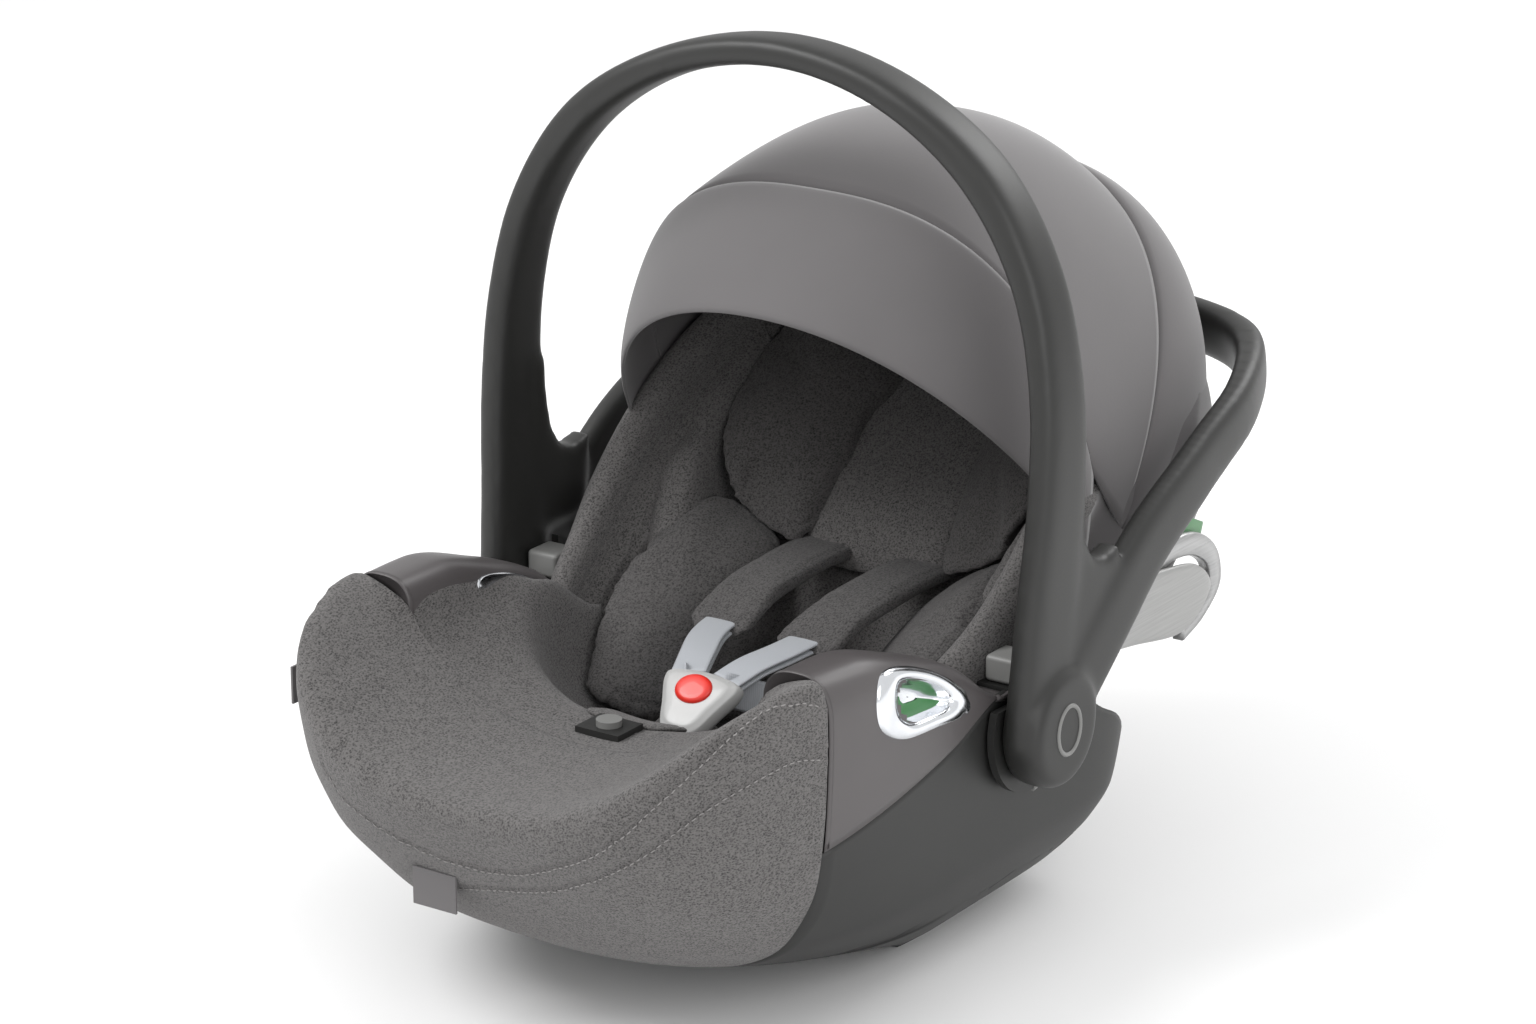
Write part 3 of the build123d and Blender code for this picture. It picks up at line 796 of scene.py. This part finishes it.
seat = copy_of(lower, "seat_liner")
middle_of, facing = facts(seat)
keep_faces(seat, (middle_of[:, 2] > 52) & (facing[:, 2] > -0.25) & (np.abs(middle_of[:, 0]) < 150)
           & (middle_of[:, 1] > SPLIT_Y - 8) & (middle_of[:, 1] < 30))
cut(seat, (0, SPLIT_Y - 0.6, 0), (0, -1, 0))
for _, side in SIDES:
    cut(seat, (side * 131.6, 0, 0), (side, 0, 0))
cut(seat, (0, 6, 0), (0, 1, 0))
finish(seat, "base", cover_melange, "melange_fabric", "seat_cushion", "seat_foam")
bpy.data.objects.remove(lower)

# ---- backrest ----
# along the backrest, half width, depth behind the face and rim height above it
BACK = ((35, 108, 22, 15), (70, 126, 36, 45), (110, 148, 52, 66), (170, 170, 70, 75),
        (230, 182, 84, 76), (300, 177, 88, 72), (350, 158, 80, 66), (370, 144, 72, 60),
        (385, 124, 58, 52))
LIE = math.radians(40)


def back(x, t, n):
    """A point t along the backrest, n above its face and x across."""
    x, t, n = np.broadcast_arrays(*(np.asarray(v, float) for v in (x, t, n)))
    return np.stack([x, t * math.cos(LIE) - n * math.sin(LIE),
                     73 + t * math.sin(LIE) + n * math.cos(LIE)], -1)


def along_back(points):
    y, z = points[:, 1], points[:, 2] - 73
    return y * math.cos(LIE) + z * math.sin(LIE), -y * math.sin(LIE) + z * math.cos(LIE)


def rim_squeeze(above):
    """How far the back's rim is drawn in, so that it stays under the canopy."""
    return 1 - 0.09 * np.clip((above - 15) / 40, 0, 1)


rest = from_nodes("back_mass", ("back_shell", "back_foam", "back_cushion"), 4.0)
biggest(rest)
relax(rest, 24)
swell(rest, 0.8)
spots = coords(rest)
spots[:, 0] *= rim_squeeze(along_back(in_mm(spots))[1])
set_coords(rest, spots)
middle_of, facing = facts(rest)
t_of, n_of = along_back(middle_of)
half_of, depth_of, top_of = columns(BACK, t_of)
beside = (np.abs(middle_of[:, 0]) > half_of * rim_squeeze(n_of) - 9) & (n_of < top_of - 5)
outside = beside | (n_of < -7) | (t_of > 377)
liner = copy_of(rest, "back_liner")
keep_faces(liner, ~outside)
finish(liner, "backrest", cover_melange, "melange_fabric", "back_cushion", "back_foam", "headrest_rails")
shell = copy_of(rest, "back_outer")
keep_faces(shell, outside)
finish(shell, "backrest", canopy_cloth, "trim_plastic", "back_shell")
bpy.data.objects.remove(rest)
# The padded wings beside the child rise from the seat's sides to the canopy.
WING_RIM = ((128, -66, 160), (134, -52, 176), (142, -36, 190), (150, -6, 210), (156, 28, 240),
            (154, 84, 290), (146, 130, 322), (132, 170, 344))
WING_FOOT = ((112, -84, 146), (112, -64, 140), (112, -42, 140), (116, -4, 152), (121, 46, 178),
             (124, 98, 214), (122, 140, 250), (114, 178, 288))
WING_BACK = ((133, -70, 140), (142, -50, 140), (152, -20, 150), (160, 10, 165), (168, 45, 190),
             (160, 92, 236), (152, 135, 275), (138, 174, 316))
for name, side in SIDES:
    mirror = np.array([side, 1, 1])
    foot, rim, outer = (curve(np.array(line) * mirror, 70)
                        for line in (WING_FOOT, WING_RIM, WING_BACK))
    sheet = []
    for a, b, c in zip(foot, rim, outer):
        section = curve([a, a * 0.45 + b * 0.55 + mirror * [5, 4, -3], b - mirror * [5, 0, 2],
                         b + mirror * [3, 1, 4], b + mirror * [11, 3, -3],
                         b * 0.4 + c * 0.6 + mirror * [7, 0, 0], c], 34)
        sheet.append(section)
    wing_side = sheet_mesh(f"wing_{name}", sheet)
    modify(wing_side, "SOLIDIFY", thickness=2.5 * MM, offset=-1)
    modify(wing_side, "SUBSURF", levels=1)
    lines = [np.array([row[k] for row in sheet])[8:64] for k in (6, 12)]
    sew(wing_side, lines, 1.5, 1.3, 0.4)
    finish(wing_side, None, cover_melange, "melange_fabric")
    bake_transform(wing_side)


# ---- pads ----
def pillow(name, outline, thick, back_thick, spot, rings=16, count=120, fullness=2.6, seam=0.0,
           seam_at=0.87, seam_width=0.022):
    """A crowned pad over a closed outline; spot() takes across, along and up to a point."""
    edge = closed_curve(outline, count)
    centre = edge.mean(0)
    rows = []
    scale = np.sin(np.linspace(0.02, math.pi / 2, rings))
    crown = (1 - scale ** fullness) ** 0.5
    dent = seam * np.exp(-((scale - seam_at) / seam_width) ** 2)
    for k, up in [(k, thick * crown[k] - dent[k]) for k in range(rings)] + \
            [(k, -back_thick * crown[k]) for k in range(rings - 2, -1, -1)]:
        flat = centre + (edge - centre) * scale[k]
        rows.append(spot(flat[:, 0], flat[:, 1], up))
    return sheet_mesh(name, rows, wrap_columns=True, ends=True)


CLOTH_STEPS = 20


def puff(piece, voxel=4.5, pressure=4.0, cap=6.0):
    """Inflates a pad as cloth, and keeps each point within a cap."""
    modify(piece, "REMESH", mode="VOXEL", voxel_size=voxel * MM)
    start = coords(piece)
    cloth = piece.modifiers.new("cloth", "CLOTH")
    cloth.settings.use_pressure = True
    cloth.settings.uniform_pressure_force = pressure
    cloth.settings.effector_weights.gravity = 0
    cloth.settings.quality = 5
    cloth.settings.tension_stiffness = 20
    cloth.settings.compression_stiffness = 20
    cloth.settings.bending_stiffness = 2
    cloth.point_cache.frame_end = CLOTH_STEPS
    scene = bpy.context.scene
    for number in range(1, CLOTH_STEPS + 1):
        scene.frame_set(number)
    bake(piece)
    scene.frame_set(1)
    move = coords(piece) - start
    size = np.linalg.norm(move, axis=1)[:, None]
    set_coords(piece, start + move * np.minimum(1, cap * MM / np.maximum(size, 1e-9)))
    modify(piece, "SUBSURF", levels=1)


def patch(name, rim, crown, depth, lift=0.0, rings=18, count=140, fullness=2.6, seam=1.2):
    """A crowned pad on a closed rim in space; it swells towards the child."""
    edge = closed_curve(rim, count)
    centre = edge.mean(0)
    spin = np.cross(edge - centre, np.roll(edge, -1, 0) - centre).sum(0)
    out = unit(spin)
    out = out * np.sign(out @ np.array([-centre[0] / 60, -0.6, 0.6]))
    scale = np.sin(np.linspace(0.02, math.pi / 2, rings))
    rise = (1 - scale ** fullness) ** 0.5
    dent = seam * np.exp(-((scale - 0.88) / 0.02) ** 2)
    rows = [centre + (edge - centre) * scale[k] + out * (crown * rise[k] - dent[k] + lift)
            for k in range(rings)]
    rows += [centre + (edge - centre) * scale[k] - out * (depth * rise[k] - lift)
             for k in range(rings - 2, -1, -1)]
    piece = sheet_mesh(name, rows, wrap_columns=True, ends=True)
    line = centre + (edge - centre) * 0.88 + out * (crown * (1 - 0.88 ** fullness) ** 0.5 + lift)
    return piece, line


HEAD_WING = ((100, 214, 334), (122, 190, 314), (128, 154, 288), (124, 118, 258), (113, 103, 232),
             (98, 102, 210), (58, 106, 192), (44, 138, 210), (36, 190, 252), (34, 230, 290),
             (60, 236, 324))
INLAY = ((92, -74, 133), (108, -54, 150), (120, -26, 168), (129, 6, 184), (131, 40, 199),
         (122, 88, 216), (106, 116, 210), (70, 114, 186), (46, 70, 148), (44, 10, 116),
         (62, -46, 112))
for name, side in SIDES:
    wing, line = patch(f"headrest_wing_{name}", np.array(HEAD_WING) * [side, 1, 1], 8, 10)
    puff(wing)
    sew(wing, [line], 1.4, 1.2, 0.4)
    finish(wing, "headrest", wing_melange, "dark_melange", f"headrest_wing_{name}")
    bolster, line = patch(f"bolster_{name}", np.array(INLAY) * [side, 1, 1], 12, 7)
    puff(bolster)
    sew(bolster, [line], 1.4, 1.2, 0.4)
    finish(bolster, None, inlay_melange, "dark_melange", f"bolster_{name}")
    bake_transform(bolster)

pad = pillow("headrest_pad", [(-56, 160), (0, 150), (56, 160), (70, 240), (62, 318), (0, 326),
                              (-62, 318), (-70, 240)],
             11, 6, lambda u, v, w: back(u, v, 10 + w + (np.asarray(u) / 70) ** 2 * 6))
puff(pad)
finish(pad, "headrest", cover_melange, "melange_fabric", "headrest_pad", "headrest_board")


# ---- harness ----
def ribbon(name, line, width, thick, across):
    """A flat belt along a line, as wide as asked in the across direction."""
    line = np.asarray(line, float)
    across = np.broadcast_to(np.asarray(across, float), line.shape)
    run = unit(np.gradient(line, axis=0))
    side = unit(across - (across * run).sum(1)[:, None] * run)
    up = np.cross(side, run)
    ring = [(-0.5, -0.35), (-0.46, 0.3), (-0.4, 0.5), (0, 0.55), (0.4, 0.5), (0.46, 0.3),
            (0.5, -0.35), (0.4, -0.5), (0, -0.5), (-0.4, -0.5)]
    rows = [[p + s * a * width + u * b * thick for a, b in ring] for p, s, u in zip(line, side, up)]
    return sheet_mesh(name, rows, wrap_columns=True, ends=True)


BUCKLE = np.array([0, -84, 158.0])
BUCKLE_UP = np.array([0, -math.sin(LIE), math.cos(LIE)])
BUCKLE_ALONG = np.array([0, math.cos(LIE), math.sin(LIE)])


def on_buckle(u, v, w):
    u, v, w = np.broadcast_arrays(*(np.asarray(k, float) for k in (u, v, w)))
    return BUCKLE + u[..., None] * [1, 0, 0] + v[..., None] * BUCKLE_ALONG + w[..., None] * BUCKLE_UP


buckle = pillow("buckle", [(-24, 12), (0, 15), (24, 12), (28, 5), (21, -12), (13, -29), (0, -33),
                           (-13, -29), (-21, -12), (-28, 5)], 8.5, 8, on_buckle, fullness=7,
                seam=0.9, seam_at=0.86)
flap = pillow("adjuster_flap", [(-27, -13), (0, -15), (27, -13), (31, 0), (27, 13), (0, 15),
                                (-27, 13), (-31, 0)], 4, 3,
              lambda u, v, w: np.stack(np.broadcast_arrays(u, -150 + v, 159 + w - v * 0.35
                                       + (np.asarray(u) / 40) ** 2 * 6), -1), fullness=4, seam=0.7)
finish(flap, "base", cover_melange, "melange_fabric")
crotch = pillow("crotch_pad", [(-22, -30), (0, -33), (22, -30), (25, 0), (22, 26), (0, 30),
                               (-22, 26), (-25, 0)], 4, 3, lambda u, v, w: on_buckle(u, v - 44, w - 6),
                seam=0.8)
finish(crotch, "base", inlay_melange, "dark_melange", "crotch_pad", "crotch_strap")
finish(buckle, "base", buckle_plastic, "buckle_plastic", "buckle_housing")
button = pillow("buckle_button", [(13.2 * math.cos(a), -1 + 10.5 * math.sin(a))
                                  for a in np.linspace(0, 2 * math.pi, 16, endpoint=False)],
                3.4, 5, lambda u, v, w: on_buckle(u, v, w + 8.0), fullness=6)
finish(button, "buckle_press", red_plastic, "red_button", "buckle_button")

PAD_LENGTH = 158
for name, side in SIDES:
    run = curve([(side * 33, -22, 172), (side * 34, -6, 178), (side * 36, 22, 186),
                 (side * 37, 62, 190), (side * 38, 104, 190), (side * 38, 144, 184)], 60)
    reach = np.linspace(0, 1, len(run))
    slope = unit(np.gradient(run, axis=0))

    def on_pad(u, v, w, run=run, reach=reach, slope=slope):
        u, v, w = np.broadcast_arrays(*(np.asarray(k, float) for k in (u, v, w)))
        at = np.stack([np.interp(v, reach * PAD_LENGTH, run[:, k]) for k in range(3)], -1)
        along = np.stack([np.interp(v, reach * PAD_LENGTH, slope[:, k]) for k in range(3)], -1)
        up_to = np.cross([1.0, 0, 0], along)
        return at + u[..., None] * [1, 0, 0] + w[..., None] * up_to

    strap_pad = pillow(f"shoulder_pad_{name}",
                       [(-21, 3), (0, 1), (21, 3), (24, 30), (24, 80), (23, 130), (19, 155),
                        (0, PAD_LENGTH), (-19, 155), (-23, 130), (-24, 80), (-24, 30)],
                       5.5, 4.5, on_pad, fullness=5)
    puff(strap_pad, 4.0, 4.0, 3.0)
    border = [np.array([on_pad(u, v, 5.5) for v in range(8, 150, 3)]) for u in (-16, 16)]
    sew(strap_pad, border, 1.3, 0.9, 0.3)
    finish(strap_pad, "base", inlay_melange, "dark_melange", f"shoulder_pad_{name}")
    for layer, drop in (("upper", 0.0), ("lower", -4.0)):
        line = curve([(side * 14, -76, 168 + drop), (side * 20, -58, 174 + drop),
                      (side * 28, -36, 178 + drop), (side * 34, 6, 181 + drop)], 30)
        belt = ribbon(f"shoulder_strap_{name}_{layer}", line, 24, 1.5, (1, 0, 0))
        stands_for = (f"shoulder_strap_{name}", "tongues") if layer == "upper" else ()
        finish(belt, "base", belt_cloth, "webbing", *stands_for)
    lap = ribbon(f"lap_strap_{name}", curve([(side * 14, -80, 164), (side * 34, -52, 150),
                                             (side * 66, -26, 132), (side * 92, -10, 120)], 30),
                 22, 1.5, (0.5 * side, 0.8, 0.5))
    stands_for = ("lap_straps",) if side > 0 else ()
    finish(lap, "base", belt_cloth, "webbing", *stands_for)


# ---- handle ----
# arch: half width outside and inside against height above the hub, along a leaning plane
ARCH_OUTER = ((210, -6), (212, 80), (215, 150), (212, 212), (196, 280), (154, 345), (92, 384), (0, 403))
ARCH_INNER = ((190, -6), (193, 80), (196, 150), (193, 210), (177, 272), (138, 329), (82, 367), (0, 385))
ARCH_LEAN = math.radians(3)
# loop: half width outside and inside against the distance behind the hub
LOOP_OUTER = ((212, 0), (214, 90), (212, 180), (202, 255), (166, 324), (94, 357), (0, 365))
LOOP_INNER = ((194, 0), (197, 90), (195, 180), (186, 246), (153, 308), (86, 341), (0, 348))
LOOP_SIDE = ((0, 155, 26), (60, 205, 25), (112, 245, 23), (165, 270, 21), (215, 288, 20),
             (275, 303, 19), (330, 311, 18), (375, 314, 17))


def mirrored(line):
    """Both halves of a line that ends on the middle plane."""
    return np.concatenate([line, line[-2::-1] * [-1, 1]])


def band(name, outer, inner, spot, depth):
    """A closed bar between two lines, with a rounded section."""
    outer, inner = (curve(mirrored(np.array(line, float)), 141) for line in (outer, inner))
    turn = np.linspace(0, 2 * math.pi, 32, endpoint=False)
    across, up = power(turn, 1, 1, 3.6)
    rows = []
    for a, b in zip(outer, inner):
        centre, half = (a + b) / 2, (a - b) / 2
        flat = centre + across[:, None] * half
        rows.append(spot(flat, depth(centre), up))
    return sheet_mesh(name, rows, wrap_columns=True, ends=True)


def on_arch(flat, half_depth, up):
    r, off = flat[:, 1], up * half_depth
    return np.stack([flat[:, 0], -10 + r * math.sin(ARCH_LEAN) + off * math.cos(ARCH_LEAN),
                     HUB_Z + r * math.cos(ARCH_LEAN) - off * math.sin(ARCH_LEAN)], -1)


def on_loop(flat, half_depth, up):
    y = flat[:, 1]
    z = columns(LOOP_SIDE, y)[0]
    lean = np.arctan((columns(LOOP_SIDE, y + 1)[0] - columns(LOOP_SIDE, y - 1)[0]) / 2)
    return np.stack([flat[:, 0], y - up * half_depth * np.sin(lean),
                     z + up * half_depth * np.cos(lean)], -1)


arch = band("carry_handle", ARCH_OUTER, ARCH_INNER, on_arch,
            lambda c: float(ease((-10, 60, 160, 280, 403), (31, 29, 25, 21, 19), c[1])))
rear_loop = band("rear_loop", LOOP_OUTER, LOOP_INNER, on_loop,
                 lambda c: float(columns(LOOP_SIDE, c[1])[1]))
feet = []
for _, side in SIDES:
    turn = np.linspace(0, 2 * math.pi, 64, endpoint=False)
    rows = [[(side * x, r * math.cos(a), HUB_Z + r * math.sin(a)) for a in turn]
            for x, r in ((189.5, 33), (190.5, 36), (195, 38), (209, 38), (214, 36.5), (216.4, 33))]
    feet.append(sheet_mesh("foot", rows, wrap_columns=True, ends=True))
    web = [[(side * x, y, z) for y, z in ((10, 200), (10, 318), (21.5, 318), (23, 290), (28, 268),
                                          (38, 254), (52, 250), (70, 254), (60, 205))]
           for x in (193.5, 210.5)]
    feet.append(sheet_mesh("web", web, wrap_columns=True, ends=True))
work = bmesh.new()
for piece in [arch, rear_loop] + feet:
    work.from_mesh(piece.data)
work.to_mesh(arch.data)
work.free()
for piece in [rear_loop] + feet:
    bpy.data.objects.remove(piece)
handle = arch
modify(handle, "REMESH", mode="VOXEL", voxel_size=2.3 * MM)
biggest(handle)
relax(handle, 10)
swell(handle, 0.5)
finish(handle, "handle", charcoal_handle, "handle_plastic", "handle")

# ---- canopy ----
# hoops: y and z of the base and of the peak, half width, corner power
RIM_HOOP = (103, 230, -27, 388, 166, 2.08)
FIRST_HOOP = (113, 279, 46, 454, 164, 2.6)
SECOND_HOOP = (139, 237, 279, 432, 170, 2.32)
LAST_HOOP = (168, 225, 334, 282, 170, 2.6)


def hoop(shape, turn):
    y0, z0, y1, z1, half, exponent = shape
    across, rise = power(turn, half, 1, exponent)
    rise = np.clip(rise, 0, 1)
    return np.stack([across, y0 + rise * (y1 - y0), z0 + rise * (z1 - z0)], -1)


def lobe(name, front_hoop, rear_hoop, bulge, tight, taper, floor, sideways, steps=36, count=120):
    """Fabric between two hoops, blown outwards between them."""
    turn = np.linspace(0.0, math.pi, count)
    a, b = hoop(front_hoop, turn), hoop(rear_hoop, turn)
    share = np.linspace(0, 1, steps)[:, None, None]
    flat = a * (1 - share) + b * share
    down = np.gradient(flat, axis=1)
    over = np.gradient(flat, axis=0)
    out = unit(np.cross(down, over))
    centre = np.array([0, 120, 250])
    flip = np.sign(((flat - centre) * out).sum(2))[..., None]
    rise = (4 * share * (1 - share)) ** tight
    fade = (floor + (1 - floor) * np.sin(turn) ** taper)[None, :, None]
    piece = sheet_mesh(name, flat + out * flip * [sideways, 1, 1] * rise * bulge * fade)
    modify(piece, "SOLIDIFY", thickness=1.8 * MM, offset=-1)
    return piece


visor = lobe("canopy_visor", RIM_HOOP, FIRST_HOOP, 8, 0.6, 0.5, 0.16, 0.8)
finish(visor, None, canopy_cloth, "canopy_fabric", "canopy_front_panel", "canopy_front_bow")
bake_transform(visor)
crown = lobe("canopy_crown", FIRST_HOOP, SECOND_HOOP, 39, 0.85, 3.0, 0.0, 0.1)
finish(crown, None, canopy_cloth, "canopy_fabric", "canopy_mid_panel", "canopy_mid_bow")
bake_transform(crown)
tail = lobe("canopy_tail", SECOND_HOOP, LAST_HOOP, 42, 0.7, 2.0, 0.2, 0.8)
finish(tail, "backrest", canopy_cloth, "canopy_fabric", "canopy_rear_panel", "canopy_rear_bow")

for name, side in SIDES:
    turn = np.linspace(0, 2 * math.pi, 72, endpoint=False)
    oval = [(side * 216.6, 13 * math.cos(a), HUB_Z + 15.5 * math.sin(a)) for a in turn]
    ring = closed_tube(f"hub_ring_{name}", oval, 1.5, 10)
    finish(ring, "handle", light_grey, "light_plastic", f"hub_cap_{name}")
    fan = np.linspace(math.radians(-84), math.radians(24), 40)
    sector = [[(side * x, r * math.cos(a), HUB_Z + r * math.sin(a)) for x, r in
               ((184, 38.5), (189.2, 39), (190, 41), (190, 46.5), (189, 48.5), (184, 49))]
              for a in fan]
    crescent = sheet_mesh(f"hub_crescent_{name}", sector, wrap_columns=True, ends=True)
    finish(crescent, "base", light_grey, "light_plastic")
    cowl = pillow(f"side_guard_{name}", [(86, 174), (80, 192), (84, 206), (120, 209), (165, 206),
                                         (204, 198), (225, 180), (212, 164), (184, 156), (130, 165)],
                  3.2, 3.2, lambda u, v, w, side=side: np.stack(np.broadcast_arrays(
                      side * (188.2 + w), u, v), -1), fullness=9)
    finish(cowl, f"flap_{name}", flap_metal, "flap_metal", f"side_flap_{name}")
    arc = curve([(150, 212), (184, 221), (218, 214), (240, 196), (244, 176), (222, 156),
                 (196, 147)], 60)
    core = curve([(150, 200), (184, 206), (212, 200), (228, 188), (230, 176), (214, 163),
                  (196, 156)], 60)
    section = ((178, 0), (185, 0), (186.5, 0.1), (186.5, 0.9), (185, 1), (178, 1))
    bars = [[(side * x, *(a * (1 - share) + b * share)) for x, share in section]
            for a, b in zip(arc, core)]
    guard = sheet_mesh(f"rear_guide_{name}", bars, wrap_columns=True, ends=True)
    finish(guard, "backrest", satin_silver, "silver_trim", f"rear_guide_{name}")
    strip = ribbon(f"belt_path_mark_{name}", curve([(side * 180, 186, 224), (side * 180, 206, 222),
                                                    (side * 179, 226, 214)], 20), 10, 3, (0, 0.2, 1))
    stands_for = ("rear_marks",) if side > 0 else ()
    finish(strip, "backrest", green_plastic, "green_mark", *stands_for)

# ---- finishes of the frame's parts that stay in view ----
SHOWN = ((charcoal_shell, ("hub_bosses", "flap_posts", "adjuster_housing", "release_housings")),
         (light_grey, ("release_button_left", "release_button_right", "adjuster_button",
                       "headrest_lever")),
         (steel, ("hub_pins", "latch_bars", "recline_brackets")), (canopy_cloth, ("front_tabs",)))
for look, nodes in SHOWN:
    for node in nodes:
        for material_slot in frame["nodes"][node].material_slots:
            material_slot.material = look

# ---- camera, light and floor ----
CAMERA_TURN, CAMERA_RISE = math.radians(34), math.radians(20.4)
CAMERA_DISTANCE = 3.0
LENS = 110.3
SEAT_MIDDLE = Vector((0, HUB_Y + 0.0129, 0.1513))
outwards = Vector((math.sin(CAMERA_TURN) * math.cos(CAMERA_RISE),
                   -math.cos(CAMERA_TURN) * math.cos(CAMERA_RISE), math.sin(CAMERA_RISE)))
rightwards = Vector((math.cos(CAMERA_TURN), math.sin(CAMERA_TURN), 0))
upwards = outwards.cross(rightwards)
lens_data = bpy.data.cameras.new("camera")
lens_data.sensor_width = 36
lens_data.lens = LENS
camera = bpy.data.objects.new("camera", lens_data)
bpy.context.scene.collection.objects.link(camera)
camera.location = SEAT_MIDDLE + outwards * CAMERA_DISTANCE
aim = SEAT_MIDDLE - rightwards * 0.0121 + upwards * 0.0943
camera.rotation_euler = (camera.location - aim).to_track_quat("Z", "Y").to_euler()
bpy.context.scene.camera = camera

floor_mesh = bpy.data.meshes.new("floor")
floor_mesh.from_pydata([(-6, -6, 0), (6, -6, 0), (6, 6, 0), (-6, 6, 0)], [], [(0, 1, 2, 3)])
floor = add_object("floor", floor_mesh)
floor_look, _, _, floor_main = shader("floor_look")
floor_main.inputs["Base Color"].default_value = (0.9, 0.9, 0.9, 1)
floor_main.inputs["Roughness"].default_value = 0.9
floor_mesh.materials.append(floor_look)


def lamp(name, place_at, target, size, watts):
    data = bpy.data.lights.new(name, "AREA")
    data.shape = "DISK"
    data.size = size
    data.energy = watts
    light = bpy.data.objects.new(name, data)
    light.location = place_at
    light.rotation_euler = (Vector(place_at) - Vector(target)).to_track_quat("Z", "Y").to_euler()
    bpy.context.scene.collection.objects.link(light)


lamp("key", (-1.6, -1.6, 2.6), (0, 0, 0.25), 1.8, 62)
lamp("fill", (2.4, -1.4, 1.4), (0, 0, 0.2), 2.2, 24)
lamp("rim", (0.6, 2.2, 2.0), (0, 0, 0.3), 1.6, 30)
world = bpy.data.worlds.new("world")
world.use_nodes = True
world.node_tree.nodes["Background"].inputs["Color"].default_value = (1, 1, 1, 1)
world.node_tree.nodes["Background"].inputs["Strength"].default_value = 0.85
bpy.context.scene.world = world
bpy.context.scene.view_settings.view_transform = "Standard"
